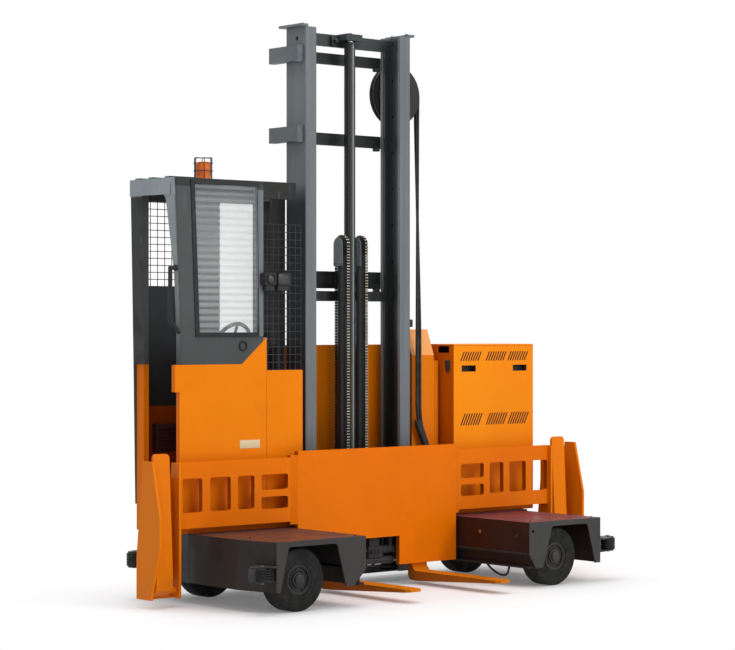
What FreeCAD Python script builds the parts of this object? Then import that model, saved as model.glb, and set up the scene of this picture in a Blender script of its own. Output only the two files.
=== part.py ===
import FreeCAD, Part
import math
import os

# Four-way electric side loader with a reach mast, in millimetres.
# +X is the long travel direction, -Y is the load side with the fork tips, +Z is up.
# The origin is on the floor, under the middle of the whole machine's outline.

# ---- overall ----
HALF_DEPTH = 605.0            # floor outline from the middle to the fork tips and to the rear wall
HALF_LENGTH = 1600.0          # from the middle to the outer face of each fork bracket
RUN = 0.3                     # gap beside a roller or rod that runs on another body
FIT = 0.05                    # radial gap of a bearing
CLEAR = 10.0                  # gap kept beside a moving piece

# ---- wheels and their steering knuckles ----
WHEEL_R = 170.0
WHEEL_W = 120.0
RIM_R = 82.0
HUB_R = 40.0
AXLE_R = 28.0
SHOULDER_R = 18.0
KNUCKLE_T = 14.0
KNUCKLE_GAP = 6.0             # between tyre and knuckle plate
SLEW_R = 65.0
FRONT_Y = -420.0
REAR_Y = 405.0
WHEELS = {
    "front_left": (-1045.0, FRONT_Y),
    "front_right": (860.0, FRONT_Y),
    "rear_left": (-1000.0, REAR_Y),
    "rear_right": (950.0, REAR_Y),
}

# ---- chassis and arms ----
SKIRT_Z = 115.0               # lower edge of the skirts
PLATE_T = 12.0                # top plate
SKIRT_T = 10.0
DECK_Z = 2 * WHEEL_R + 5.0 + KNUCKLE_T + 9.0 + PLATE_T
DECK_UNDER = DECK_Z - PLATE_T
ARM_FRONT_Y = -515.0
ARM_REAR_Y = 185.0            # where arms and chassis meet
LANE_X = 615.0                # half width of the lane between the arms
LEFT_CORNER_X = 1225.0        # front corner of the left arm, where its chamfer starts
RIGHT_ARM_X = 1200.0          # outer side of the right arm
SIDE_X = 1285.0               # outer face of the chassis sides
CHAMFER_Y = -255.0            # where the left arm's chamfer ends
REAR_BOX_Y = 485.0            # front face of the box that joins both sides
ARCH_TOP_Z = 2 * WHEEL_R + CLEAR
ARCH_ROUND = 20.0
LEFT_ARCH = (1199.0, 1143.0, 815.0, 751.0)    # outer low, outer top, inner top, inner low
RIGHT_ARCH = (1158.0, 1090.0, 800.0, 725.0)
LEFT_LEG_X = 699.0            # lane side of the left front plate at its lower edge
RIGHT_LEG_X = 668.0

# ---- reach rails and reach frame ----
RAIL_BACK_X = 655.0           # back of the rail channels
RAIL_T = 10.0
RAIL_FLANGE = 12.0
RAIL_TOP_Z = 200.0
RAIL_FRONT_Y = ARM_FRONT_Y + SKIRT_T + 5.0
RAIL_REAR_Y = REAR_BOX_Y
FRAME_X = LANE_X - 15.0
FRAME_BEAM_W = 60.0
FRAME_FRONT_Y = 180.0
FRAME_Z0 = 125.0
FRAME_Z1 = 195.0

# ---- mast ----
MAST_X = 397.0                # outer face of the fixed mast rails
MAST_Y0 = 270.0
MAST_Y1 = 445.0
MAST_Z0 = 60.0
MAST_TOP = 3217.0
TOP_BAR_DOWN = 182.0          # lower edges of the two upper bars, down from the rails' tops
TOP_BAR_H = 65.0
NEXT_BAR_DOWN = 655.0
NEXT_BAR_H = 71.0
MIDDLE_BAR_Z = 1726.0
MIDDLE_BAR_H = 100.0
FOOT_BAR_Z = 383.0
FOOT_BAR_H = 92.0
TOP_ARM_H = 98.0              # the side arms' feet, set about their bars
NEXT_ARM_H = 96.0
TOP_ARM_DROP = 21.0
NEXT_ARM_DROP = 6.0
OUT_FLANGE_W = 79.0
OUT_WEB_T = 14.0
OUT_FLANGE_T = 20.0
STAGE_GAP = 6.0               # between the fixed rails and the lifting rails inside them
IN_FLANGE_W = 52.0
IN_WEB_T = 10.0
IN_FLANGE_T = 12.0
IN_X = MAST_X - OUT_WEB_T - STAGE_GAP - 3.0
IN_Y0 = MAST_Y0 + OUT_FLANGE_T + STAGE_GAP
IN_Y1 = MAST_Y1 - OUT_FLANGE_T - STAGE_GAP
IN_BAR_T = 22.0
IN_Z0 = 78.0
IN_TOP = MAST_TOP - 12.0
IN_TOP_BAR_H = 71.0
IN_LOW_BAR_Z = 1651.0
IN_LOW_BAR_H = 59.0
BAR_T = 20.0
BOTTOM_T = 12.0
CAP_T = 14.0
SIDE_ARM_T = 43.0             # how far the side arms stand out from the left rail
LIFT_HOLE_R = 13.0
LIFT_HOLE_Z = MAST_TOP - 65.0
LIFT_HOLE_Y = 349.0
RAIL_HOLE_R = 8.0
RAIL_HOLE_STEP = 215.0
PAD_T = 5.5                   # slide pads between the stages

# ---- lift cylinder, posts, chains ----
CYL_Y = 352.0
CYL_R = 33.0
ROD_R = 23.0
CYL_TOP = IN_TOP - 45.0
HEAD_GAP = 8.0                # between the barrel and the crosshead over it
POST_X = 70.0
POST_Y = 337.0
POST_R = 28.0
SHEAVE_Z = 1980.0
SHEAVE_R = 43.0
CHAIN_T = 12.0
CHAIN_W = 16.0
CHAIN_Z0 = 150.0

# ---- fork carriage ----
PLATE_HALF = LANE_X - 15.0
PLATE_Z0 = 125.0
PLATE_Z1 = 807.0
PLATE_Y = 87.0
CARR_T = 30.0
WING_STEP = 18.0              # how far the wings sit behind the plate's face
WING_Z0 = 416.0
WING_Z1 = 773.0
BEVEL_W = 40.0
NOTCH_HALF = 154.0
NOTCH_Z = 291.0
TINE_X = 337.0
TINE_W = 115.0
TINE_Z0 = 22.0
TINE_Z1 = 78.0
TINE_TIP_T = 15.0
SHANK_T = 38.0
SIDE_PLATE_X = 150.0
SIDE_PLATE_T = 20.0

# ---- folding outer tines and their brackets ----
BRACKET_T = 15.0
LEFT_BRACKET_X = 1405.0       # lane side of the left bracket's inner plate
RIGHT_BRACKET_X = 1385.0
FOLD_TINE_W = 105.0
FOLD_GAP = 5.0
FOLD_PIVOT_Y = 120.0
FOLD_PIVOT_Z = 95.0
FOLD_BACK_Y = 108.0           # rear face of an upright tine
FOLD_TIP_Z = 825.0
FOLD_HEEL_T = 50.0
FOLD_TIP_T = 16.0
FOLD_BOSS_R = 28.0
PIN_R = 18.0

# ---- cab ----
CAB_FRONT_Y = 192.0
CAB_REAR_Y = HALF_DEPTH
CAB_LEFT_X = -1336.0
CAB_LEFT_TOP_X = -1376.0
CAB_RIGHT_X = -482.0
CAB_MID_X = -739.0            # right edge of the window bay
WALL_T = 30.0
LEDGE_X = -1367.0
LEDGE_Z = 1149.0
BELT_Z = 1296.0
SLANT_X = -914.0              # left end of the slanted joint under the window
SLANT_Z = 1442.0
SILL_Z = 1471.0
HEAD_Z = 2280.0
WINDOW_POST_X = -765.0        # right edge of the post beside the front window
ROOF_RIGHT_X = -530.0         # the roof's front stops short of the right wall
ROOF_Z = 2312.0
ROOF_SIDE_Z = 2222.0
SIDE_LOW_Z = 1259.0
GUARD_TOP_Z = 2078.0
DOOR_REAR_Y = CAB_REAR_Y - 107.0
POST_LOW_Z = 522.0
POST_EDGE = 14.0              # dark edge of the rear post beside its painted lower part
REAR_PANEL_Z = 1061.0
REAR_WINDOW = (-780.0, -508.0, 1460.0, 2218.0)
REAR_MESH = (-1297.0, -1050.0, 1725.0, 2199.0)
COLUMN = (-545.0, -430.0, 415.0, 485.0)
GLASS = [(-1203.0, SILL_Z), (-794.0, SILL_Z), (-807.0, HEAD_Z), (-1237.0, HEAD_Z)]
GLASS_T = 6.0
PILLAR_ROUND = 26.0           # round corner of the door pillar
ROOF_RIBS = (CAB_FRONT_Y + 63.0, CAB_FRONT_Y + 218.0, CAB_REAR_Y - 70.0)
FLOOR_T = 8.0
BEACON_X = -1109.0
BEACON_Y = 285.0

# ---- hoods and battery ----
BATT_X0 = 708.0
BATT_X1 = 1374.0
BATT_Y0 = 225.0
BATT_TOP = 1396.0
HOOD_TOP = 1395.0
HOOD_FRONT_Y = 502.0
SHEET_T = 4.0
SIDE_HOOD_X0 = 461.0
SIDE_HOOD_X1 = 638.0
SIDE_HOOD_Y = 325.0
SIDE_HOOD_TOP = 1486.0
HANDLES = ((773.0, 890.0), (1201.0, 1319.0))
HANDLE_Z0 = 1231.0
HANDLE_Z1 = 1268.0
LOUVRE_X = (763.0, 972.0, 1155.0)     # where each group of slots starts
LOUVRE_COUNT = 8
LOUVRE_STEP = 20.0
LOUVRE_SLOT = 8.0

# ---- hose pulley and hoses ----
HOSE_R = 11.0
HOSE_STEP = 26.0              # between the two hoses
PULLEY_R = 176.0
PULLEY_X = 478.0
PULLEY_Y = 500.0
PULLEY_Z = MAST_TOP - 326.0
PULLEY_T = 52.0
HOSE_DOWN_X = 500.0
HOSE_DOWN_Y = 290.0
HOSE_BEND_Z = 1500.0
SHEATH_Z0 = 800.0
SHEATH_Z1 = 900.0
HOSE_LOW_Z = 215.0
HOSE_CLAMP_Z = PULLEY_Z - 291.0   # where both hoses end behind the rail


def vec(x, y, z):
    return FreeCAD.Vector(x, y, z)


def box(x0, x1, y0, y1, z0, z1):
    """A block between two corners."""
    return Part.makeBox(x1 - x0, y1 - y0, z1 - z0, vec(x0, y0, z0))


def cyl(x, y, z, radius, length, axis):
    """A round bar that starts at a point and runs along an axis."""
    return Part.makeCylinder(radius, length, vec(x, y, z), axis)


X_AXIS = vec(1, 0, 0)
Y_AXIS = vec(0, 1, 0)
Z_AXIS = vec(0, 0, 1)


def prism_z(points, z0, z1):
    """A plan outline raised from z0 to z1."""
    wire = Part.makePolygon([vec(x, y, z0) for x, y in points + points[:1]])
    return Part.Face(wire).extrude(vec(0, 0, z1 - z0))


def prism_y(points, y0, y1):
    """A front outline of (x, z) points, carried from y0 to y1."""
    wire = Part.makePolygon([vec(x, y0, z) for x, z in points + points[:1]])
    return Part.Face(wire).extrude(vec(0, y1 - y0, 0))


def prism_x(points, x0, x1):
    """A side outline of (y, z) points, carried from x0 to x1."""
    wire = Part.makePolygon([vec(x0, y, z) for y, z in points + points[:1]])
    return Part.Face(wire).extrude(vec(x1 - x0, 0, 0))


def fuse(shapes):
    """One solid out of touching pieces."""
    return shapes[0].multiFuse(shapes[1:]).removeSplitter()


def mirror_x(shape):
    """The same piece on the other side of the machine."""
    return shape.mirror(vec(0, 0, 0), X_AXIS)


def pair(shape):
    """A piece and its mirror image, as two solids."""
    return Part.makeCompound([shape, mirror_x(shape)])


def save(name, shape):
    """Write one node's solids."""
    solids = shape.Solids
    shape = solids[0] if len(solids) == 1 else Part.makeCompound(solids)
    shape.exportStep("parts/" + name + ".step")


def rounded_window(x0, x1, z0, z1, y0, y1, radius):
    """A block with round corners, to cut a window through a front plate."""
    block = box(x0, x1, y0, y1, z0, z1)
    upright = [e for e in block.Edges if abs(e.tangentAt(e.FirstParameter).y) > 0.99]
    return block.makeFillet(radius, upright)


# ---- wheels ----

def tyre(x, y):
    half = WHEEL_W / 2
    ring = Part.makeCylinder(WHEEL_R, WHEEL_W, vec(x, y - half, WHEEL_R), Y_AXIS)
    rims = [e for e in ring.Edges if e.Curve.TypeId == "Part::GeomCircle"]
    ring = ring.makeFillet(SHOULDER_R, rims)
    return ring.cut(cyl(x, y - half - 1, WHEEL_R, RIM_R, WHEEL_W + 2, Y_AXIS))


def rim(x, y):
    half = WHEEL_W / 2
    inset = 6.0
    web_t = 16.0
    barrel = cyl(x, y - half + inset, WHEEL_R, RIM_R - FIT, WHEEL_W - 2 * inset, Y_AXIS)
    barrel = barrel.cut(cyl(x, y - half, WHEEL_R, RIM_R - 14.0, WHEEL_W, Y_AXIS))
    web = cyl(x, y - half + 20.0, WHEEL_R, RIM_R - 13.0, web_t, Y_AXIS)
    hub = cyl(x, y - half + inset, WHEEL_R, HUB_R, WHEEL_W - 2 * inset, Y_AXIS)
    body = fuse([barrel, web, hub])
    bore_y = y - half + 28.0
    return body.cut(cyl(x, bore_y, WHEEL_R, AXLE_R + FIT, WHEEL_W, Y_AXIS))


def knuckle(x, y):
    half = WHEEL_W / 2
    plate_y = y + half + KNUCKLE_GAP
    plate_half = 55.0
    under = 2 * WHEEL_R + 5.0
    top = under + KNUCKLE_T
    side = box(x - plate_half, x + plate_half, plate_y, plate_y + KNUCKLE_T, 95.0, top)
    roof = box(x - plate_half, x + plate_half, y - half / 2, plate_y + KNUCKLE_T, under, top)
    slew = cyl(x, y, under, SLEW_R, DECK_UNDER - 0.5 - under, Z_AXIS)
    axle_y = y - half + 30.0
    axle = cyl(x, axle_y, WHEEL_R, AXLE_R, plate_y - axle_y + 1.0, Y_AXIS)
    boss = cyl(x, plate_y - KNUCKLE_GAP + 1.0, WHEEL_R, AXLE_R + 12.0, KNUCKLE_GAP, Y_AXIS)
    return fuse([side, roof, slew, axle, boss])


# ---- chassis ----

def shell(outline, inner, z0, z1):
    """A skirted deck: top plate and skirts, open below."""
    return prism_z(outline, z0, z1).cut(prism_z(inner, z0 - 1.0, z1 - PLATE_T))


def chassis_frame():
    t = SKIRT_T
    a, b = SIDE_X, LANE_X
    y0, y1, y2 = ARM_REAR_Y, REAR_BOX_Y, HALF_DEPTH
    outer = [(-a, y0), (-b, y0), (-b, y1), (b, y1), (b, y0), (a, y0), (a, y2), (-a, y2)]
    inner = [(-a + t, y0 - 1), (-b - t, y0 - 1), (-b - t, y1 + t), (b + t, y1 + t),
             (b + t, y0 - 1), (a - t, y0 - 1), (a - t, y2 - t), (-a + t, y2 - t)]
    body = shell(outer, inner, SKIRT_Z, DECK_Z)
    for sign in (-1, 1):
        body = body.cut(rail_pocket(sign, y0 - 1, y1))
    return body


def front_arch(sign, arch, leg_x):
    """The wheel arch and the cut-off lower lane corner in a front plate."""
    low, top = SKIRT_Z - 1.0, ARCH_TOP_Z
    y0, y1 = ARM_FRONT_Y - 1.0, ARM_FRONT_Y + SKIRT_T + 1.0
    out_low, out_top, in_top, in_low = [sign * x for x in arch]
    opening = prism_y([(out_low, low), (out_top, top), (in_top, top), (in_low, low)], y0, y1)
    upper = [e for e in opening.Edges
             if abs(e.tangentAt(e.FirstParameter).y) > 0.99 and e.CenterOfMass.z > top - 1]
    opening = opening.makeFillet(ARCH_ROUND, upper)
    corner = prism_y([(sign * (LANE_X - 1), RAIL_TOP_Z), (sign * leg_x, low),
                      (sign * (LANE_X - 1), low)], y0, y1)
    return opening.fuse(corner)


def rail_pocket(sign, y0, y1):
    """The space under the inner wall that takes the reach rail."""
    near, far = sign * (LANE_X - 1), sign * (RAIL_BACK_X + 1)
    return box(min(near, far), max(near, far), y0, y1, SKIRT_Z - 1, RAIL_TOP_Z)


def left_arm():
    t = SKIRT_T
    y0, y1 = ARM_FRONT_Y, ARM_REAR_Y
    outer = [(-LANE_X, y1), (-SIDE_X, y1), (-SIDE_X, CHAMFER_Y), (-LEFT_CORNER_X, y0), (-LANE_X, y0)]
    inner = [(-LANE_X - t, y1 + 1), (-SIDE_X + t, y1 + 1), (-SIDE_X + t, CHAMFER_Y),
             (-LEFT_CORNER_X + 0.8 * t, y0 + t), (-LANE_X - t, y0 + t)]
    body = shell(outer, inner, SKIRT_Z, DECK_Z).cut(front_arch(-1, LEFT_ARCH, LEFT_LEG_X))
    return body.cut(rail_pocket(-1, y0 + t, y1 + 1))


def right_arm():
    t = SKIRT_T
    y0, y1 = ARM_FRONT_Y, ARM_REAR_Y
    outer = [(LANE_X, y0), (RIGHT_ARM_X, y0), (RIGHT_ARM_X, y1), (LANE_X, y1)]
    inner = [(LANE_X + t, y0 + t), (RIGHT_ARM_X - t, y0 + t), (RIGHT_ARM_X - t, y1 + 1),
             (LANE_X + t, y1 + 1)]
    body = shell(outer, inner, SKIRT_Z, DECK_Z).cut(front_arch(1, RIGHT_ARCH, RIGHT_LEG_X))
    body = body.cut(cyl(LANE_X + 30.0, y0 - 1, ARCH_TOP_Z - 22.0, 9.0, t + 2, Y_AXIS))
    return body.cut(rail_pocket(1, y0 + t, y1 + 1))


def reach_rail():
    """The right rail: a channel under the arm's inner wall, open to the lane."""
    x0, x1 = LANE_X, RAIL_BACK_X
    body = box(x0, x1, RAIL_FRONT_Y, RAIL_REAR_Y, SKIRT_Z, RAIL_TOP_Z)
    return body.cut(box(x0 - 1, x1 - RAIL_T, RAIL_FRONT_Y - 1, RAIL_REAR_Y + 1,
                        SKIRT_Z + RAIL_FLANGE, RAIL_TOP_Z - RAIL_FLANGE))


def guide_roller(x, y, z, radius, height, arm):
    """A guide roller between two cheeks that widen towards the body; arm is the way back."""
    length = arm.Length
    way = FreeCAD.Vector(arm).normalize()
    across = vec(-way.y, way.x, 0)
    cheek_t = 8.0
    low, high = z - height / 2 - cheek_t - 1, z + height / 2 + 1

    def plan(corners, z0, z1):
        points = [vec(x, y, 0) + way * along + across * side for along, side in corners]
        return prism_z([(p.x, p.y) for p in points], z0, z1)

    pieces = [cyl(x, y, low, 12.0, high + cheek_t - low, Z_AXIS)]
    for z0, foot in ((low, radius + 14.0), (high, radius + 45.0)):
        nose = radius - 6.0
        pieces.append(cyl(x, y, z0, nose, cheek_t, Z_AXIS))
        corners = [(0, -nose), (0, nose), (length, foot), (length, -foot)]
        pieces.append(plan(corners, z0, z0 + cheek_t))
    back = radius + 10.0
    corners = [(length - 10.0, -back), (length - 10.0, back), (length, back), (length, -back)]
    pieces.append(plan(corners, low, high + cheek_t))
    pieces.append(cyl(x, y, z - height / 2, radius, height, Z_AXIS))
    return fuse(pieces)


def guide_rollers():
    """Aisle guide rollers at the outer corners of the chassis."""
    edge = vec(SIDE_X - LEFT_CORNER_X, ARM_FRONT_Y - CHAMFER_Y, 0).normalize()
    out = vec(edge.y, -edge.x, 0)
    if out.x > 0:
        out = out * -1
    foot = vec(-LEFT_CORNER_X, ARM_FRONT_Y, 0) - edge * 75.0
    reach = 66.0
    left = foot + out * reach
    right_reach = 130.0
    rear_reach = 125.0
    rear_z = 226.0
    rear_y = HALF_DEPTH - 90.0
    return Part.makeCompound([
        guide_roller(left.x, left.y, 214.0, 46.0, 66.0, out * -reach),
        guide_roller(RIGHT_ARM_X + right_reach, -450.0, 214.0, 42.0, 66.0, vec(-right_reach, 0, 0)),
        guide_roller(-SIDE_X - rear_reach, rear_y, rear_z, 40.0, 70.0, vec(rear_reach, 0, 0)),
        guide_roller(SIDE_X + rear_reach, rear_y, rear_z, 40.0, 70.0, vec(-rear_reach, 0, 0)),
    ])


# ---- reach frame and mast ----

def reach_frame():
    x1 = FRAME_X
    x0 = FRAME_X - FRAME_BEAM_W
    y1 = REAR_BOX_Y - CLEAR
    beam = box(x0, x1, FRAME_FRONT_Y, y1, FRAME_Z0, FRAME_Z1)
    gusset = box(MAST_X, x0 + 1, MAST_Y0 + 10, MAST_Y1 - 10, FRAME_Z0, FRAME_Z1)
    rear = box(-x1, x1, MAST_Y1, y1, FRAME_Z0, FRAME_Z1)
    return fuse([beam, gusset, mirror_x(beam), mirror_x(gusset), rear])


def reach_rollers():
    radius = (RAIL_TOP_Z - SKIRT_Z) / 2 - RAIL_FLANGE - RUN
    z = (RAIL_TOP_Z + SKIRT_Z) / 2
    gap = LANE_X - FRAME_X
    width = RAIL_BACK_X - LANE_X - RAIL_T - 4.0
    solids = []
    for y in (FRAME_FRONT_Y + 35.0, REAR_BOX_Y - CLEAR - 35.0):
        stub = cyl(FRAME_X, y, z, 12.0, gap + 1.0, X_AXIS)
        wheel = cyl(FRAME_X + gap + 1.0, y, z, radius, width, X_AXIS)
        one = stub.fuse(wheel)
        solids += [one, mirror_x(one)]
    return Part.makeCompound(solids)


def outer_rail():
    """The right fixed rail, a channel open to the middle, with its lifting hole."""
    x0, x1 = MAST_X - OUT_FLANGE_W, MAST_X
    body = box(x0, x1, MAST_Y0, MAST_Y1, MAST_Z0, MAST_TOP)
    body = body.cut(box(x0 - 1, x1 - OUT_WEB_T, MAST_Y0 + OUT_FLANGE_T, MAST_Y1 - OUT_FLANGE_T,
                        MAST_Z0 + BOTTOM_T, MAST_TOP + 1))
    return body.cut(cyl(x0, LIFT_HOLE_Y, LIFT_HOLE_Z, LIFT_HOLE_R, OUT_FLANGE_W + 1, X_AXIS))


def outer_mast():
    """Both fixed rails with the plates on their tops."""
    cap = box(MAST_X - 17, MAST_X + 33, MAST_Y0 - 4, MAST_Y1 + 32, MAST_TOP, MAST_TOP + CAP_T)
    return pair(outer_rail().fuse(cap))


def mast_crossbars():
    """The bars behind the fixed rails, the foot plate between them and the two side arms."""
    x0 = MAST_X - OUT_FLANGE_W
    solids = [box(-x0, x0, MAST_Y0 + 30, MAST_Y1, MAST_Z0, MAST_Z0 + BOTTOM_T)]
    top_z, next_z = MAST_TOP - TOP_BAR_DOWN, MAST_TOP - NEXT_BAR_DOWN
    for z0, height in ((top_z, TOP_BAR_H), (next_z, NEXT_BAR_H), (MIDDLE_BAR_Z, MIDDLE_BAR_H),
                       (FOOT_BAR_Z, FOOT_BAR_H)):
        solids.append(box(-MAST_X, MAST_X, MAST_Y1, MAST_Y1 + BAR_T, z0, z0 + height))
    for z0, height in ((top_z - TOP_ARM_DROP, TOP_ARM_H), (next_z - NEXT_ARM_DROP, NEXT_ARM_H)):
        z1 = z0 + height
        arm = box(-MAST_X - SIDE_ARM_T, -MAST_X, LIFT_HOLE_Y - 34.0, MAST_Y1 + 109.0, z0 + 4, z1 - 4)
        foot = box(-MAST_X - SIDE_ARM_T, -MAST_X, LIFT_HOLE_Y - 59.0, LIFT_HOLE_Y - 33.0, z0, z1)
        solids.append(arm.fuse(foot))
    return Part.makeCompound(solids)


def inner_rail():
    """The right lifting rail, a smaller channel that runs inside the fixed one."""
    x0, x1 = IN_X - IN_FLANGE_W, IN_X
    body = box(x0, x1, IN_Y0, IN_Y1, IN_Z0, IN_TOP)
    body = body.cut(box(x0 - 1, x1 - IN_WEB_T, IN_Y0 + IN_FLANGE_T, IN_Y1 - IN_FLANGE_T,
                        IN_Z0 - 1, IN_TOP + 1))
    holes = []
    z = IN_TOP - 26.0
    while z > CHAIN_Z0:
        holes.append(cyl(x1 - IN_WEB_T - 1, IN_Y1 - 30.0, z, RAIL_HOLE_R, IN_WEB_T + 2, X_AXIS))
        z -= RAIL_HOLE_STEP
    return body.cut(Part.makeCompound(holes))


def inner_mast():
    """Both lifting rails with their slide pads."""
    x0 = IN_X - IN_FLANGE_W
    pieces = [inner_rail()]
    for z in (160.0, 620.0):
        for y in (IN_Y0 - PAD_T, IN_Y1 - 0.5):
            pieces.append(box(x0 + 10, IN_X - 8, y, y + PAD_T + 0.5, z, z + 90.0))
        pieces.append(box(IN_X - 0.5, IN_X + PAD_T + 3.0, IN_Y0 + 30, IN_Y1 - 30, z, z + 90.0))
    return pair(fuse(pieces))


def inner_crossbars():
    """What joins the lifting rails: two bars, the lower plate and the crosshead over the rod."""
    x0 = IN_X - IN_FLANGE_W
    y1 = IN_Y1
    y0 = y1 - IN_FLANGE_T
    solids = []
    for z0, height in ((IN_TOP - IN_TOP_BAR_H, IN_TOP_BAR_H), (IN_LOW_BAR_Z, IN_LOW_BAR_H)):
        z1 = z0 + height
        bar = box(-x0, x0, y0, y1, z0, z1)
        solids.append(bar.fuse(box(-x0 + 20, x0 - 20, y0, y0 + IN_BAR_T, z0, z1)))
    crosshead = box(-60.0, 60.0, CYL_Y - 45.0, y0 + 1, CYL_TOP + HEAD_GAP, IN_TOP)
    solids[0] = solids[0].fuse(crosshead).removeSplitter()
    floor = box(-x0, x0, POST_Y - POST_R, y1, IN_Z0 + 2, IN_Z0 + 2 + BOTTOM_T)
    solids.append(floor.cut(cyl(0, CYL_Y, IN_Z0, CYL_R + 5.0, 40.0, Z_AXIS)))
    return Part.makeCompound(solids)


def lift_rod():
    return cyl(0, CYL_Y, 100.0, ROD_R, CYL_TOP + HEAD_GAP - 100.0, Z_AXIS)


def lift_cylinder():
    z0 = MAST_Z0 + BOTTOM_T
    barrel = cyl(0, CYL_Y, z0, CYL_R, CYL_TOP - z0, Z_AXIS)
    return barrel.cut(cyl(0, CYL_Y, z0 + 12.0, ROD_R + RUN, CYL_TOP, Z_AXIS))


def lift_posts():
    """Two chain posts with a sheave in a fork head on each."""
    z0 = IN_Z0 + 2 + BOTTOM_T
    solids = []
    for x in (-POST_X, POST_X):
        post = cyl(x, POST_Y, z0, POST_R, SHEAVE_Z - SHEAVE_R - 20.0 - z0, Z_AXIS)
        sheave = cyl(x - 9.0, POST_Y, SHEAVE_Z, SHEAVE_R, 18.0, X_AXIS)
        cheeks = []
        for side in (-1, 1):
            x0 = x + side * 20.0
            low, high = min(x0, x0 + side * 8.0), max(x0, x0 + side * 8.0)
            cheeks.append(box(low, high, POST_Y - 28.0, POST_Y + 28.0,
                              SHEAVE_Z - SHEAVE_R - 21.0, SHEAVE_Z + 20.0))
        axle = cyl(x - 24.0, POST_Y, SHEAVE_Z, 12.0, 48.0, X_AXIS)
        solids.append(fuse([post, sheave, axle] + cheeks))
    return Part.makeCompound(solids)


def lift_chains():
    """Each chain as one loop over its sheave, with both runs down to the lower plate."""
    solids = []
    inner = SHEAVE_R + 0.5
    outer = inner + CHAIN_T
    z0 = IN_Z0 + 2 + BOTTOM_T
    for x in (-POST_X, POST_X):
        x0 = x - CHAIN_W / 2
        ring = cyl(x0, POST_Y, SHEAVE_Z, outer, CHAIN_W, X_AXIS)
        ring = ring.cut(cyl(x0 - 1, POST_Y, SHEAVE_Z, inner, CHAIN_W + 2, X_AXIS))
        ring = ring.cut(box(x0 - 1, x0 + CHAIN_W + 1, POST_Y - 100, POST_Y + 100, SHEAVE_Z - 100, SHEAVE_Z))
        front = box(x0, x0 + CHAIN_W, POST_Y - outer, POST_Y - inner, CHAIN_Z0, SHEAVE_Z)
        rear = box(x0, x0 + CHAIN_W, POST_Y + inner, POST_Y + outer, z0, SHEAVE_Z)
        solids.append(fuse([ring, front, rear]))
    return Part.makeCompound(solids)


# ---- fork carriage ----

def wing_windows(sign):
    cuts = []
    y0, y1 = PLATE_Y + WING_STEP - 1, PLATE_Y + WING_STEP + CARR_T + 1
    tall = ((1247.0, 1379.0), (1055.0, 1194.0), (892.0, 1006.0))
    for a, b in tall:
        low, high = min(sign * a, sign * b), max(sign * a, sign * b)
        cuts.append(rounded_window(low, high, 500.0, 685.0, y0, y1, 15.0))
    low, high = min(sign * 656.0, sign * 843.0), max(sign * 656.0, sign * 843.0)
    for z0, z1 in ((599.0, 685.0), (493.0, 562.0)):
        cuts.append(rounded_window(low, high, z0, z1, y0, y1, 15.0))
    return cuts


def fork_carriage():
    """The plate between the arms, the windowed wings beside it and the bevels between them."""
    y0 = PLATE_Y
    outline = [(-PLATE_HALF, PLATE_Z1), (-PLATE_HALF, PLATE_Z0), (-NOTCH_HALF, PLATE_Z0),
               (-NOTCH_HALF, NOTCH_Z), (NOTCH_HALF, NOTCH_Z), (NOTCH_HALF, PLATE_Z0),
               (PLATE_HALF, PLATE_Z0), (PLATE_HALF, PLATE_Z1)]
    pieces = [prism_y(outline, y0, y0 + CARR_T)]
    for sign, inner_x in ((-1, LEFT_BRACKET_X), (1, RIGHT_BRACKET_X)):
        near, far = sign * (PLATE_HALF - 20.0), sign * inner_x
        low, high = min(near, far), max(near, far)
        wing = box(low, high, y0 + WING_STEP, y0 + WING_STEP + CARR_T, WING_Z0, WING_Z1)
        for cut in wing_windows(sign):
            wing = wing.cut(cut)
        edge = sign * PLATE_HALF
        bevel = [(edge - sign, y0), (edge, y0), (edge + sign * BEVEL_W, y0 + WING_STEP),
                 (edge + sign * BEVEL_W, y0 + WING_STEP + CARR_T - 5.0),
                 (edge - sign, y0 + CARR_T - 1.0)]
        pieces.append(wing)
        pieces.append(prism_z(bevel, DECK_Z + 2 * CLEAR, WING_Z1 + 12.0))
    return fuse(pieces)


def carriage_guide():
    """Side plates behind the fork plate, with rollers in the lifting rails."""
    y0 = PLATE_Y + CARR_T
    x0, x1 = SIDE_PLATE_X, SIDE_PLATE_X + SIDE_PLATE_T
    rail_x0 = IN_X - IN_FLANGE_W
    radius = (IN_Y1 - IN_Y0) / 2 - IN_FLANGE_T - RUN
    roller_y = (IN_Y0 + IN_Y1) / 2
    width = IN_FLANGE_W - IN_WEB_T - 8.0
    side = box(x0, x1, y0, IN_Y1 - IN_FLANGE_T - CLEAR, 300.0, 740.0)
    pieces = [side, mirror_x(side)]
    for z in (375.0, 665.0):
        roller = cyl(rail_x0 + 2.0, roller_y, z, radius, width, X_AXIS)
        stub = cyl(x1 - 1, roller_y, z, 20.0, rail_x0 + 4.0 - x1, X_AXIS)
        pieces += [roller, stub, mirror_x(roller), mirror_x(stub)]
    for z0 in (320.0, 690.0):
        pieces.append(box(-x1, x1, y0, y0 + 30.0, z0, z0 + 40.0))
    return fuse(pieces)


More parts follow.
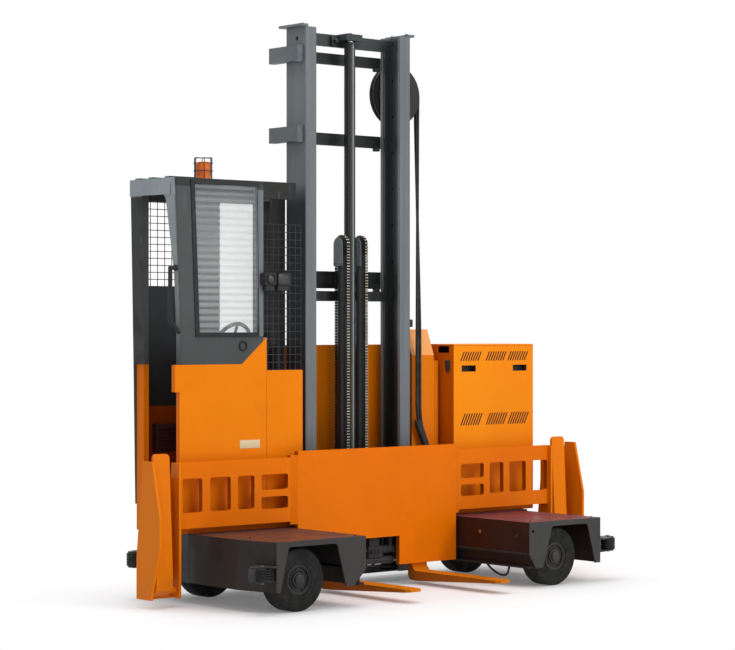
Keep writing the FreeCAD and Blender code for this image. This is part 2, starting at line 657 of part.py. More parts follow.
def centre_tines():
    """Two forks hung behind the plate: shank, heel and a tapered blade under the plate."""
    solids = []
    y_face = PLATE_Y + CARR_T
    for sign in (-1, 1):
        x0 = sign * TINE_X - TINE_W / 2
        y_back = y_face + SHANK_T
        heel = 30.0
        side = [(y_back, 520.0), (y_back, TINE_Z0 + heel), (y_back - heel / 3, TINE_Z0 + heel / 3),
                (y_back - heel, TINE_Z0), (y_face - 60.0, TINE_Z0), (-HALF_DEPTH, TINE_Z1 - TINE_TIP_T),
                (-HALF_DEPTH, TINE_Z1), (y_face - 25.0, TINE_Z1), (y_face, TINE_Z1 + 25.0),
                (y_face, 520.0)]
        blade = prism_x(side, x0, x0 + TINE_W)
        tip = [e for e in blade.Edges
               if abs(e.tangentAt(e.FirstParameter).z) > 0.99 and e.CenterOfMass.y < 1 - HALF_DEPTH]
        solids.append(blade.makeChamfer(22.0, tip))
    return Part.makeCompound(solids)


def carriage_hydraulics():
    """Valve block and two short sideshift cylinders behind the notch of the fork plate."""
    y0 = PLATE_Y + CARR_T
    block = box(-45.0, 60.0, y0 + 12.0, y0 + 62.0, 170.0, 235.0)
    foot = box(-30.0, 45.0, y0 + 22.0, y0 + 52.0, 234.0, 320.0)
    pieces = [block, foot]
    for z, x0, x1 in ((212.0, 50.0, 232.0), (152.0, -80.0, 150.0)):
        pieces.append(cyl(x0, y0 + 37.0, z, 22.0, x1 - x0, X_AXIS))
    for x in (-30.0, -5.0, 20.0):
        pieces.append(cyl(x, y0 + 1.0, 205.0, 8.0, 14.0, Y_AXIS))
    pieces.append(box(120.0, 145.0, y0 + 22.0, y0 + 52.0, 225.0, 320.0))
    return fuse(pieces)


# ---- folding outer tines ----

def fork_bracket(x_in):
    """The right bracket: outer and inner plates with a cross plate and a back plate."""
    x_out = HALF_LENGTH
    z0 = 50.0
    outer = [(76.0, 787.0), (159.0, 787.0), (218.0, 270.0), (218.0, z0), (90.0, z0),
             (5.0, 330.0), (5.0, 486.0)]
    inner = [(80.0, WING_Z1), (150.0, WING_Z1), (200.0, 270.0), (200.0, z0), (80.0, z0)]
    back_y = FOLD_PIVOT_Y + FOLD_BOSS_R + CLEAR
    base_y = FOLD_PIVOT_Y + 20.0
    pieces = [prism_x(outer, x_out - BRACKET_T, x_out),
              prism_x(inner, x_in, x_in + BRACKET_T),
              box(x_in + 1, x_out - 1, back_y, back_y + 14.0, 150.0, 690.0),
              box(x_in + 1, x_out - 1, base_y, 200.0, z0, z0 + 12.0)]
    body = fuse(pieces)
    return body.cut(cyl(x_in - 1, FOLD_PIVOT_Y, FOLD_PIVOT_Z, PIN_R + FIT, x_out, X_AXIS))


def folding_tine(x_in, x0):
    """A folding tine, upright, with its pivot boss and pin."""
    x1 = x0 + FOLD_TINE_W
    y0 = FOLD_BACK_Y
    side = [(y0, FOLD_TIP_Z), (y0 - FOLD_TIP_T, FOLD_TIP_Z), (y0 - FOLD_HEEL_T, FOLD_PIVOT_Z + 70.0),
            (y0 - FOLD_HEEL_T + 6.0, FOLD_PIVOT_Z + 5.0), (FOLD_PIVOT_Y - 20.0, FOLD_PIVOT_Z - 20.0),
            (FOLD_PIVOT_Y, FOLD_PIVOT_Z - 10.0), (FOLD_PIVOT_Y + 20.0, FOLD_PIVOT_Z + 18.0),
            (y0, FOLD_PIVOT_Z + 60.0)]
    blade = prism_x(side, x0, x1)
    top = box(x0, x1, y0 - 80, y0 + 80, FOLD_TIP_Z - 60.0, FOLD_TIP_Z)
    corners = [e for e in top.Edges
               if abs(e.tangentAt(e.FirstParameter).y) > 0.99 and e.CenterOfMass.z > FOLD_TIP_Z - 1]
    blade = blade.cut(box(x0 - 1, x1 + 1, y0 - 80, y0 + 80, FOLD_TIP_Z - 30.0, FOLD_TIP_Z + 1)
                      .cut(top.makeFillet(24.0, corners)))
    boss = cyl(x0, FOLD_PIVOT_Y, FOLD_PIVOT_Z, FOLD_BOSS_R, FOLD_TINE_W, X_AXIS)
    pin = cyl(x_in + 1, FOLD_PIVOT_Y, FOLD_PIVOT_Z, PIN_R, HALF_LENGTH - x_in - 2, X_AXIS)
    return fuse([blade, boss, pin])


def folding_tine_right():
    return folding_tine(RIGHT_BRACKET_X, RIGHT_BRACKET_X + BRACKET_T + FOLD_GAP)


def folding_tine_left():
    x0 = HALF_LENGTH - BRACKET_T - FOLD_GAP - FOLD_TINE_W
    return mirror_x(folding_tine(LEFT_BRACKET_X, x0))


def fork_brackets():
    return Part.makeCompound([fork_bracket(RIGHT_BRACKET_X), mirror_x(fork_bracket(LEFT_BRACKET_X))])


# ---- cab ----

def cab_lower():
    """Painted lower panels: front, right end, door post lining and lower rear."""
    y0, y1 = CAB_FRONT_Y, CAB_FRONT_Y + WALL_T
    front = [(CAB_LEFT_X, DECK_Z), (CAB_MID_X, DECK_Z), (CAB_MID_X, SLANT_Z), (SLANT_X, BELT_Z),
             (LEDGE_X, BELT_Z), (LEDGE_X, LEDGE_Z), (CAB_LEFT_X, LEDGE_Z)]
    pieces = [prism_y(front, y0, y1)]
    pieces.append(box(CAB_MID_X - 1, CAB_RIGHT_X, y0, y1, DECK_Z, SIDE_LOW_Z))
    pieces.append(box(CAB_RIGHT_X - 20, CAB_RIGHT_X, y0, CAB_REAR_Y, DECK_Z, SIDE_LOW_Z))
    post_y = DOOR_REAR_Y + 24
    pieces.append(box(CAB_LEFT_X - 4, CAB_LEFT_X + 12, post_y, CAB_REAR_Y - POST_EDGE, DECK_Z, BELT_Z))
    pieces.append(box(CAB_LEFT_X + 11, CAB_LEFT_X + 30, post_y, CAB_REAR_Y - WALL_T, DECK_Z, BELT_Z))
    pieces.append(box(CAB_LEFT_X + 12, CAB_RIGHT_X, CAB_REAR_Y - WALL_T, CAB_REAR_Y,
                      DECK_Z, REAR_PANEL_Z))
    return fuse(pieces)


def rear_post():
    """The rear corner post: bulged outwards in the middle, a thin edge below the belt."""
    y0, y1 = DOOR_REAR_Y, CAB_REAR_Y
    x1 = CAB_LEFT_X + 12
    side = [(y1, POST_LOW_Z), (y1, ROOF_SIDE_Z + 10), (y0, ROOF_SIDE_Z + 10), (y0, BELT_Z),
            (y1 - POST_EDGE, BELT_Z), (y1 - POST_EDGE, POST_LOW_Z)]
    front = [(x1, POST_LOW_Z), (x1, ROOF_SIDE_Z + 10), (CAB_LEFT_TOP_X + 6, ROOF_SIDE_Z + 10),
             (CAB_LEFT_X - 24, 1750.0), (CAB_LEFT_X - 16, BELT_Z), (CAB_LEFT_X - 4, POST_LOW_Z)]
    return prism_x(side, CAB_LEFT_TOP_X - 10, x1).common(prism_y(front, y0 - 1, y1 + 1))


def corner_round(x, y, z, run):
    """What a round corner takes off the low-x, low-y edge that starts here and follows run."""
    r = PILLAR_ROUND
    out = 12.0
    points = [vec(x - out, y - out, z), vec(x + r, y - out, z), vec(x + r, y + r, z), vec(x - out, y + r, z)]
    square = Part.Face(Part.makePolygon(points + points[:1]))
    disc = Part.Face(Part.Wire(Part.makeCircle(r, vec(x + r, y + r, z), Z_AXIS)))
    return square.cut(disc).Faces[0].extrude(run)


def cab_frame():
    """Dark upper frame: pillars, front panel round the window, roof, rear post and column."""
    y0, y1 = CAB_FRONT_Y, CAB_FRONT_Y + WALL_T
    post_z = BELT_Z + (WINDOW_POST_X - SLANT_X) * (SLANT_Z - BELT_Z) / (CAB_MID_X - SLANT_X)
    front = [(CAB_LEFT_X, BELT_Z), (SLANT_X, BELT_Z), (WINDOW_POST_X, post_z),
             (WINDOW_POST_X, ROOF_Z), (CAB_LEFT_TOP_X, ROOF_Z), (CAB_LEFT_X, SILL_Z)]
    face = prism_y(front, y0, y1).cut(prism_y(GLASS, y0 - 1, y1 + 1))
    side = [(y0, BELT_Z), (y1 - 5, BELT_Z), (y1, 1800.0), (y1 + 50.0, 2200.0),
            (y1 + 80.0, ROOF_SIDE_Z + 10), (y1 + 80.0, ROOF_Z), (y0, ROOF_Z)]
    pillar = prism_x(side, CAB_LEFT_TOP_X, CAB_LEFT_X + 25.0)
    lean = [(CAB_LEFT_X, BELT_Z - 1), (CAB_LEFT_X, SILL_Z), (CAB_LEFT_TOP_X, ROOF_Z),
            (CAB_LEFT_TOP_X - 50, ROOF_Z + 1), (CAB_LEFT_TOP_X - 50, BELT_Z - 1)]
    pillar = pillar.cut(prism_y(lean, y0 - 1, y1 + 400.0))
    roof = box(CAB_LEFT_TOP_X, CAB_RIGHT_X, y0, CAB_REAR_Y, HEAD_Z, ROOF_Z)
    x0, x1, c0, c1 = COLUMN
    roof = roof.cut(box(ROOF_RIGHT_X, CAB_RIGHT_X + 1, y0 - 1, c0 - 40, HEAD_Z - 1, ROOF_Z + 1))
    band = box(CAB_LEFT_TOP_X, CAB_LEFT_TOP_X + 25, y0 + 30, CAB_REAR_Y, ROOF_SIDE_Z, HEAD_Z + 1)
    head = box(WINDOW_POST_X - 1, ROOF_RIGHT_X, y0, y1, ROOF_SIDE_Z - 6, HEAD_Z + 1)
    corner = box(CAB_RIGHT_X - 20, CAB_RIGHT_X, CAB_REAR_Y - 45, CAB_REAR_Y, SIDE_LOW_Z, HEAD_Z + 1)
    column = box(x0, x1, c0, c1, SIDE_LOW_Z, HEAD_Z - 20)
    cap = box(x0 - 60, CAB_RIGHT_X, c0, c1, HEAD_Z - 21, HEAD_Z + 1)
    foot = box(CAB_RIGHT_X, x1, c0, c1, DECK_Z, SIDE_LOW_Z + 1)
    body = fuse([face, pillar, roof, band, rear_post(), head, corner, column, cap, foot])
    body = body.cut(corner_round(CAB_LEFT_X, y0, BELT_Z - 1, vec(0, 0, SILL_Z - BELT_Z + 1)))
    lean_way = vec(CAB_LEFT_TOP_X - CAB_LEFT_X, 0, ROOF_Z - SILL_Z)
    body = body.cut(corner_round(CAB_LEFT_X, y0, SILL_Z, lean_way))
    ribs = []
    for y in ROOF_RIBS:
        ribs.append(box(CAB_LEFT_TOP_X + 15, BEACON_X - 70, y, y + 40.0, ROOF_Z - 1, ROOF_Z + 9.0))
    return fuse([body] + ribs)


def cab_rear_panel():
    """Dark rear wall with the mesh opening and the rear window cut."""
    y0, y1 = CAB_REAR_Y - WALL_T, CAB_REAR_Y
    wall = box(CAB_LEFT_X + 12, CAB_RIGHT_X - 20, y0, y1, REAR_PANEL_Z, HEAD_Z)
    for x0, x1, z0, z1 in (REAR_MESH, REAR_WINDOW):
        wall = wall.cut(box(x0, x1, y0 - 1, y1 + 1, z0, z1))
    return wall


def front_glass():
    y0 = CAB_FRONT_Y + 10.0
    return prism_y(GLASS, y0, y0 + GLASS_T)


def rear_glass():
    y0 = CAB_REAR_Y - 18.0
    x0, x1, z0, z1 = REAR_WINDOW
    return box(x0, x1, y0, y0 + GLASS_T, z0, z1)


def mesh(x0, x1, z0, z1, y, pitch_x, pitch_z, wire):
    """A flat welded mesh of square bars in a front plane."""
    bars = []
    count_x = int(round((x1 - x0) / pitch_x))
    count_z = int(round((z1 - z0) / pitch_z))
    for i in range(count_x + 1):
        x = x0 + (x1 - x0 - wire) * i / count_x
        bars.append(box(x, x + wire, y, y + wire, z0, z1))
    for i in range(count_z + 1):
        z = z0 + (z1 - z0 - wire) * i / count_z
        bars.append(box(x0, x1, y, y + wire, z, z + wire))
    return fuse(bars)


def side_mesh():
    """The guard beside the front window, cut back where the painted panel rises into it."""
    y = CAB_FRONT_Y + 12.0
    guard = mesh(WINDOW_POST_X, CAB_RIGHT_X, SIDE_LOW_Z, GUARD_TOP_Z, y, 43.0, 43.0, 4.0)
    return guard.cut(box(WINDOW_POST_X - 1, CAB_MID_X, y - 1, y + 10.0, SIDE_LOW_Z - 1, SLANT_Z))


def beacon():
    base = cyl(BEACON_X, BEACON_Y, ROOF_Z, 42.0, 14.0, Z_AXIS)
    lens = cyl(BEACON_X, BEACON_Y, ROOF_Z + 14.0, 39.0, 84.0, Z_AXIS)
    lens = lens.makeFillet(12.0, [e for e in lens.Edges if e.CenterOfMass.z > ROOF_Z + 90])
    return base.fuse(lens)


def beacon_cage():
    bars = []
    r, t, height = 54.0, 4.0, 121.0
    for i in range(3):
        frame = box(-r, r, -t / 2, t / 2, 0, height)
        frame = frame.cut(box(-r + t, r - t, -t, t, -1, height - t))
        frame.rotate(vec(0, 0, 0), Z_AXIS, 60.0 * i)
        frame.translate(vec(BEACON_X, BEACON_Y, ROOF_Z))
        bars.append(frame)
    for z in (ROOF_Z + 45.0, ROOF_Z + 88.0):
        ring = cyl(BEACON_X, BEACON_Y, z, r, t, Z_AXIS)
        bars.append(ring.cut(cyl(BEACON_X, BEACON_Y, z - 1, r - t, t + 2, Z_AXIS)))
    return fuse(bars)


def grab_handle():
    """The bent grab bar on the door pillar."""
    x = CAB_LEFT_X - 38.0
    r = 12.0
    y = CAB_FRONT_Y + 16.0
    points = [vec(x + 30, y, 1822.0), vec(x - 12, y, 1822.0), vec(x - 14, y, 1535.0),
              vec(x + 42, y - 2, 1475.0)]
    pieces = []
    for a, b in zip(points, points[1:]):
        run = b - a
        pieces.append(Part.makeCylinder(r, run.Length, a, run))
        pieces.append(Part.makeSphere(r, b))
    return fuse(pieces).cut(cab_frame())


def steering_console():
    """Dashboard, column and an almost upright steering wheel behind the front window."""
    y0 = CAB_FRONT_Y + WALL_T
    hub = vec(-866.0, y0 + 118.0, 1416.0)
    radius = 112.0
    lean = 25.0                   # degrees the wheel's face leans back from upright
    axis = vec(0, math.cos(math.radians(lean)), math.sin(math.radians(lean)))
    desk = box(-1200.0, -800.0, y0, y0 + 100.0, 1180.0, 1290.0)
    riser = box(hub.x - 45, hub.x + 45, y0, y0 + 60.0, 1289.0, 1370.0)
    column = Part.makeCylinder(20.0, 100.0, hub - axis * 95.0, axis)
    wheel = Part.makeTorus(radius, 11.0, hub, axis)
    spokes = []
    for angle in (30, 150, 270):
        spoke = cyl(0, 0, 0, 8.0, radius, X_AXIS)
        spoke.rotate(vec(0, 0, 0), Z_AXIS, angle)
        spoke.rotate(vec(0, 0, 0), X_AXIS, lean - 90.0)
        spoke.translate(hub)
        spokes.append(spoke)
    body = desk
    for piece in [riser, column] + spokes + [wheel]:
        body = body.fuse(piece)
    return body


def cab_seat():
    """A sit-stand seat that faces the left end of the machine."""
    z0 = DECK_Z + FLOOR_T
    post = box(-680.0, -600.0, 350.0, 430.0, z0, 1000.0)
    pad = box(-760.0, -560.0, 280.0, 500.0, 1000.0, 1070.0)
    back = box(-600.0, -560.0, 280.0, 395.0, 1069.0, 1420.0)
    return fuse([post, pad, back])


def cab_floor():
    return box(CAB_LEFT_X + 30, CAB_RIGHT_X - 20, CAB_FRONT_Y + WALL_T, CAB_REAR_Y - WALL_T,
               DECK_Z, DECK_Z + FLOOR_T)


def vent_box():
    y1 = CAB_REAR_Y - WALL_T
    return box(-1246.0, -1113.0, y1 - 50.0, y1, 808.0, 962.0)


def work_lamp():
    """Two square lamp housings side by side, with their cable boxes below and one foot."""
    y1 = CAB_FRONT_Y
    pieces = []
    for x0, x1 in ((-787.0, -710.0), (-703.0, -610.0)):
        pieces.append(box(x0, x1, y1 - 52.0, y1 - 8.0, 1735.0, 1802.0))
        pieces.append(box(x0 + 12, x1 - 8, y1 - 42.0, y1 - 12.0, 1703.0, 1736.0))
    pieces.append(box(-711.0, -702.0, y1 - 32.0, y1 - 8.0, 1745.0, 1790.0))
    pieces.append(box(-790.0, -768.0, y1 - 9.0, y1, 1740.0, 1792.0))
    return fuse(pieces)


# ---- hoods and battery ----

def louvres(y0, y1):
    """Slanted slots in three groups, two rows, to cut through a front sheet."""
    cuts = []
    for z0, z1 in ((1296.0, 1351.0), (907.0, 978.0)):
        lean = (z1 - z0) / 2
        for start in LOUVRE_X:
            for i in range(LOUVRE_COUNT):
                x = start + i * LOUVRE_STEP
                cuts.append(prism_y([(x, z0), (x + LOUVRE_SLOT, z0), (x + LOUVRE_SLOT + lean, z1),
                                     (x + lean, z1)], y0, y1))
    return cuts


def battery_box():
    t = SHEET_T
    body = box(BATT_X0, BATT_X1, BATT_Y0, HALF_DEPTH, DECK_Z, BATT_TOP)
    body = body.cut(box(BATT_X0 + t, BATT_X1 - t, BATT_Y0 + t, HALF_DEPTH - t, DECK_Z - 1, BATT_TOP - t))
    cuts = louvres(BATT_Y0 - 1, BATT_Y0 + t + 1)
    for x0, x1 in HANDLES:
        cuts.append(box(x0, x1, BATT_Y0 - 1, BATT_Y0 + t + 1, HANDLE_Z0, HANDLE_Z1))
    cuts.append(box(BATT_X0 - 1, BATT_X0 + t + 1, BATT_Y0 + 41, BATT_Y0 + 140, 1344.0, 1385.0))
    return body.cut(Part.makeCompound(cuts))


def battery_handles():
    """The two dark handle trays behind the openings in the front sheet."""
    solids = []
    depth = 40.0
    for x0, x1 in HANDLES:
        y0 = BATT_Y0 + SHEET_T
        tray = box(x0 - 6, x1 + 6, y0, y0 + depth, HANDLE_Z0 - 6, HANDLE_Z1 + 6)
        tray = tray.cut(box(x0, x1, y0 - 1, y0 + depth - 4, HANDLE_Z0, HANDLE_Z1))
        solids.append(tray)
    return Part.makeCompound(solids)


def battery_block():
    gap = 45.0
    return box(BATT_X0 + gap, BATT_X1 - gap, BATT_Y0 + 55.0, HALF_DEPTH - gap, DECK_Z, 1180.0)


def rear_hood():
    """The hood behind the mast, over the hydraulic unit."""
    x0, x1 = CAB_RIGHT_X, BATT_X0
    t = SHEET_T
    body = box(x0, x1, HOOD_FRONT_Y, HALF_DEPTH, DECK_Z, HOOD_TOP)
    return body.cut(box(x0 + t, x1 - t, HOOD_FRONT_Y + t, HALF_DEPTH - t, DECK_Z - 1, HOOD_TOP - t))


def side_hood():
    """The tall hood between mast and battery, with a sloped top front and a skirt below."""
    y0, y1 = SIDE_HOOD_Y, HOOD_FRONT_Y
    side = [(y0, DECK_Z), (y1, DECK_Z), (y1, SIDE_HOOD_TOP), (y0 + 60.0, SIDE_HOOD_TOP), (y0, 1330.0)]
    tall = prism_x(side, SIDE_HOOD_X0, SIDE_HOOD_X1)
    skirt = box(SIDE_HOOD_X1 - 1, BATT_X0 - 22.0, y0 + 15.0, y1, DECK_Z, 1298.0)
    return fuse([tall, skirt])


# ---- hoses ----

def hose(points, bend):
    """A round hose through corner points, with a tangent arc at each corner."""
    pieces = []
    start = points[0]
    for before, corner, after in zip(points, points[1:], points[2:]):
        a = (before - corner).normalize()
        b = (after - corner).normalize()
        half = a.getAngle(b) / 2
        cut = bend / math.tan(half)
        p, q = corner + a * cut, corner + b * cut
        centre = corner + (a + b).normalize() * (bend / math.sin(half))
        pieces.append(Part.makeCylinder(HOSE_R, (p - start).Length, start, p - start))
        ring = Part.Face(Part.Wire(Part.makeCircle(HOSE_R, p, a)))
        axis = (p - centre).cross(q - centre)
        pieces.append(ring.revolve(centre, axis, 180.0 - math.degrees(2 * half)))
        start = q
    last = points[-1]
    pieces.append(Part.makeCylinder(HOSE_R, (last - start).Length, start, last - start))
    return fuse(pieces)


def hose_pulley():
    """The hose pulley, its disc across the mast's depth, and its arm behind the right rail."""
    centre = vec(PULLEY_X, PULLEY_Y, PULLEY_Z)
    half = PULLEY_T / 2
    disc = cyl(PULLEY_X, PULLEY_Y - half, PULLEY_Z, PULLEY_R, PULLEY_T, Y_AXIS)
    for side in (-1, 1):
        middle = centre + Y_AXIS * (side * HOSE_STEP / 2)
        disc = disc.cut(Part.makeTorus(PULLEY_R + 2.0, HOSE_R + RUN, middle, Y_AXIS))
    hub = cyl(PULLEY_X, PULLEY_Y - half - 10.0, PULLEY_Z, 32.0, PULLEY_T + 20.0, Y_AXIS)
    arm = box(MAST_X - 70.0, PULLEY_X + 20.0, MAST_Y1, PULLEY_Y - half - 5.0, PULLEY_Z - 28.0,
              PULLEY_Z + 28.0)
    return fuse([disc, hub, arm])


def mast_hoses():
    """Two hoses: up from the rear crossbar, over the pulley and down to the reach frame."""
    solids = []
    turn_r = PULLEY_R + 2.0
    for side in (-1, 1):
        y = PULLEY_Y + side * HOSE_STEP / 2
        left, right = PULLEY_X - turn_r, PULLEY_X + turn_r
        ring = Part.Face(Part.Wire(Part.makeCircle(HOSE_R, vec(left, y, PULLEY_Z), Z_AXIS)))
        over = ring.revolve(vec(PULLEY_X, y, PULLEY_Z), Y_AXIS, 180.0)
        up = cyl(left, y, HOSE_CLAMP_Z, HOSE_R, PULLEY_Z - HOSE_CLAMP_Z, Z_AXIS)
        down_x = HOSE_DOWN_X + side * HOSE_STEP / 2
        low = [vec(right, y, PULLEY_Z), vec(right, y, PULLEY_Z - 60.0),
               vec(down_x, HOSE_DOWN_Y, HOSE_BEND_Z), vec(down_x, HOSE_DOWN_Y, HOSE_LOW_Z)]
        solids.append(fuse([over, up, hose(low, 300.0)]))
    return Part.makeCompound(solids)


def hose_sheath():
    """The sleeve round both hoses, the clamps on their way and the lower connector."""
    y0, y1 = HOSE_DOWN_Y - HOSE_R - 5, HOSE_DOWN_Y + HOSE_R + 5
    half = HOSE_STEP / 2 + HOSE_R + 5
    pieces = []
    for z0, z1 in ((SHEATH_Z0, SHEATH_Z1), (1420.0, 1445.0), (HOSE_LOW_Z - 20.0, HOSE_LOW_Z + 25.0)):
        sleeve = box(HOSE_DOWN_X - half, HOSE_DOWN_X + half, y0, y1, z0, z1)
        for side in (-1, 1):
            x = HOSE_DOWN_X + side * HOSE_STEP / 2
            low = max(z0 - 1, HOSE_LOW_Z)
            sleeve = sleeve.cut(cyl(x, HOSE_DOWN_Y, low, HOSE_R + FIT, z1 - low + 1, Z_AXIS))
        pieces.append(sleeve)
    return Part.makeCompound(pieces)


NODES = {
    "chassis_frame": chassis_frame,
    "left_arm": left_arm,
    "right_arm": right_arm,
    "reach_rails": lambda: pair(reach_rail()),
    "guide_rollers": guide_rollers,
    "reach_frame": reach_frame,
    "reach_rollers": reach_rollers,
    "outer_mast": outer_mast,
    "mast_crossbars": mast_crossbars,
    "lift_cylinder": lift_cylinder,
    "hose_pulley": hose_pulley,
    "mast_hoses": mast_hoses,
    "hose_sheath": hose_sheath,
    "inner_mast": inner_mast,
    "inner_crossbars": inner_crossbars,
    "lift_rod": lift_rod,
    "lift_posts": lift_posts,
    "lift_chains": lift_chains,
    "fork_carriage": fork_carriage,
    "carriage_guide": carriage_guide,
    "carriage_hydraulics": carriage_hydraulics,
    "centre_tines": centre_tines,
    "fork_brackets": fork_brackets,
    "folding_tine_right": folding_tine_right,
    "folding_tine_left": folding_tine_left,
    "cab_lower": cab_lower,
    "cab_frame": cab_frame,
    "cab_rear_panel": cab_rear_panel,
    "cab_floor": cab_floor,
    "front_glass": front_glass,
    "rear_glass": rear_glass,
    "rear_mesh": lambda: mesh(*REAR_MESH, CAB_REAR_Y - 15.0, 50.0, 50.0, 5.0),
    "side_mesh": side_mesh,
    "beacon": beacon,
    "beacon_cage": beacon_cage,
    "grab_handle": grab_handle,
    "steering_console": steering_console,
    "cab_seat": cab_seat,
    "vent_box": vent_box,
    "work_lamp": work_lamp,
    "battery_box": battery_box,
    "battery_handles": battery_handles,
    "battery_block": battery_block,
    "rear_hood": rear_hood,
    "side_hood": side_hood,
}


def main():
    os.makedirs("parts", exist_ok=True)
    for name, make in NODES.items():
        save(name, make())
    for name, (x, y) in WHEELS.items():
        save("tyre_" + name, tyre(x, y))
        save("rim_" + name, rim(x, y))
        save("knuckle_" + name, knuckle(x, y))


main()
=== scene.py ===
import math

import bmesh
import bpy
from mathutils import Matrix, Vector


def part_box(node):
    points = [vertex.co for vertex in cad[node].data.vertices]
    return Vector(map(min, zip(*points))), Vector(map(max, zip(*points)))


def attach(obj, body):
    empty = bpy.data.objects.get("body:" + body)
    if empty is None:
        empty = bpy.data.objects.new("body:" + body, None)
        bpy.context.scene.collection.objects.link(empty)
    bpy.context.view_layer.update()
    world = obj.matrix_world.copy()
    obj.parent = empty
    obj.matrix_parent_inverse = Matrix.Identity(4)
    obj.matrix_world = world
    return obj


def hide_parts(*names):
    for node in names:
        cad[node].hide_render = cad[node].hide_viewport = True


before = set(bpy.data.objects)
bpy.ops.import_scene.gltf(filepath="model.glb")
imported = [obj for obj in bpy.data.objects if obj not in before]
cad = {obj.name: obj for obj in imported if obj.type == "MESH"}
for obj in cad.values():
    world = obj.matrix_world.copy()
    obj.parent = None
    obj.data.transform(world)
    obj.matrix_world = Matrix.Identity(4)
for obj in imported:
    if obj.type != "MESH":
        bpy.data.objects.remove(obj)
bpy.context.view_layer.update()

scene = bpy.context.scene
scene.view_settings.view_transform = "Standard"

CAB_FACE_Y = 0.192          # front face of the cab's lower panels and window frame
LINING_PITCH = 0.038        # height of one rib of the cab's rear lining
CHAIN_PITCH = 0.0165


# ---- paints and finishes ----

def srgb(r, g, b):
    """A colour written in display levels of 0 to 255."""
    def linear(c):
        c /= 255
        return c / 12.92 if c <= 0.04045 else ((c + 0.055) / 1.055) ** 2.4
    return (linear(r), linear(g), linear(b), 1.0)


class Finish:
    """A material on Object coordinates, built up in layers. Colours are in display levels."""

    def __init__(self, name, colour, rough=0.45, metal=0.0):
        self.material = bpy.data.materials.new(name)
        self.material.use_nodes = True
        self.tree = self.material.node_tree
        self.shader = self.tree.nodes["Principled BSDF"]
        self.place = self.node("ShaderNodeTexCoord").outputs["Object"]
        self.rgb = self.constant(srgb(*colour))
        self.shader.inputs["Metallic"].default_value = metal
        if not metal:
            self.shader.inputs["Specular IOR Level"].default_value = 0.25
        self.shader.inputs["Roughness"].default_value = rough

    def node(self, kind, **settings):
        """Adds a node with the settings given."""
        node = self.tree.nodes.new(kind)
        for key, value in settings.items():
            setattr(node, key, value)
        return node

    def link(self, a, b):
        self.tree.links.new(a, b)

    def constant(self, colour):
        node = self.node("ShaderNodeRGB")
        node.outputs[0].default_value = colour
        return node.outputs[0]

    def noise(self, scale, detail=3.0, stretch=(1, 1, 1), low=0.4, high=0.6):
        """Noise turned into a 0 to 1 mask."""
        mapping = self.node("ShaderNodeMapping")
        mapping.inputs["Scale"].default_value = stretch
        self.link(self.place, mapping.inputs["Vector"])
        tex = self.node("ShaderNodeTexNoise")
        tex.inputs["Scale"].default_value = scale
        tex.inputs["Detail"].default_value = detail
        self.link(mapping.outputs[0], tex.inputs["Vector"])
        return self.ramp(tex.outputs[0], low, high)

    def ramp(self, value, low, high):
        """0 to 1, smoothly, between two values."""
        node = self.node("ShaderNodeMapRange", clamp=True, interpolation_type="SMOOTHSTEP")
        node.inputs["From Min"].default_value = low
        node.inputs["From Max"].default_value = high
        self.link(value, node.inputs["Value"])
        return node.outputs[0]

    def times(self, a, b):
        """Product of two masks, or of a mask and a number."""
        node = self.node("ShaderNodeMath", operation="MULTIPLY")
        for socket, value in zip(node.inputs, (a, b)):
            if isinstance(value, float):
                socket.default_value = value
            else:
                self.link(value, socket)
        return node.outputs[0]

    def axis(self, name):
        """Place along X, Y or Z."""
        split = self.node("ShaderNodeSeparateXYZ")
        self.link(self.place, split.inputs[0])
        return split.outputs[name]

    def facing(self, name, low=0.5, high=0.8):
        """1 where the surface faces along an axis."""
        geo = self.node("ShaderNodeNewGeometry")
        split = self.node("ShaderNodeSeparateXYZ")
        self.link(geo.outputs["Normal"], split.inputs[0])
        return self.ramp(split.outputs[name], low, high)

    def both(self, *masks):
        """1 where every mask is 1."""
        out = masks[0]
        for mask in masks[1:]:
            out = self.times(out, mask)
        return out

    def along(self, name, low, high):
        """0 to 1 between two places on an axis."""
        return self.ramp(self.axis(name), low, high)

    def over(self, mask, colour, amount=1.0):
        """Lays a colour over what is there, where the mask says."""
        mix = self.node("ShaderNodeMix", data_type="RGBA")
        if amount != 1.0:
            mask = self.times(mask, float(amount))
        self.link(mask, mix.inputs[0])
        self.link(self.rgb, mix.inputs[6])
        mix.inputs[7].default_value = srgb(*colour)
        self.rgb = mix.outputs[2]
        return self

    def gloss(self, mask, low, high):
        """Roughness that runs from low to high with a mask."""
        node = self.node("ShaderNodeMapRange")
        node.inputs["To Min"].default_value = low
        node.inputs["To Max"].default_value = high
        self.link(mask, node.inputs["Value"])
        self.link(node.outputs[0], self.shader.inputs["Roughness"])
        return self

    def grain(self, scale, depth, detail=2.0, stretch=(1, 1, 1), edge=0.003):
        """Fine relief of the coat, with corners shaded as if rounded by edge."""
        bump = self.node("ShaderNodeBump")
        bump.inputs["Strength"].default_value = 1.0
        bump.inputs["Distance"].default_value = depth
        soft = self.node("ShaderNodeBevel", samples=4)
        soft.inputs["Radius"].default_value = edge
        self.link(soft.outputs[0], bump.inputs["Normal"])
        self.link(self.noise(scale, detail, stretch, 0.0, 1.0), bump.inputs["Height"])
        self.link(bump.outputs[0], self.shader.inputs["Normal"])
        return self

    def done(self):
        self.link(self.rgb, self.shader.inputs["Base Color"])
        return self.material


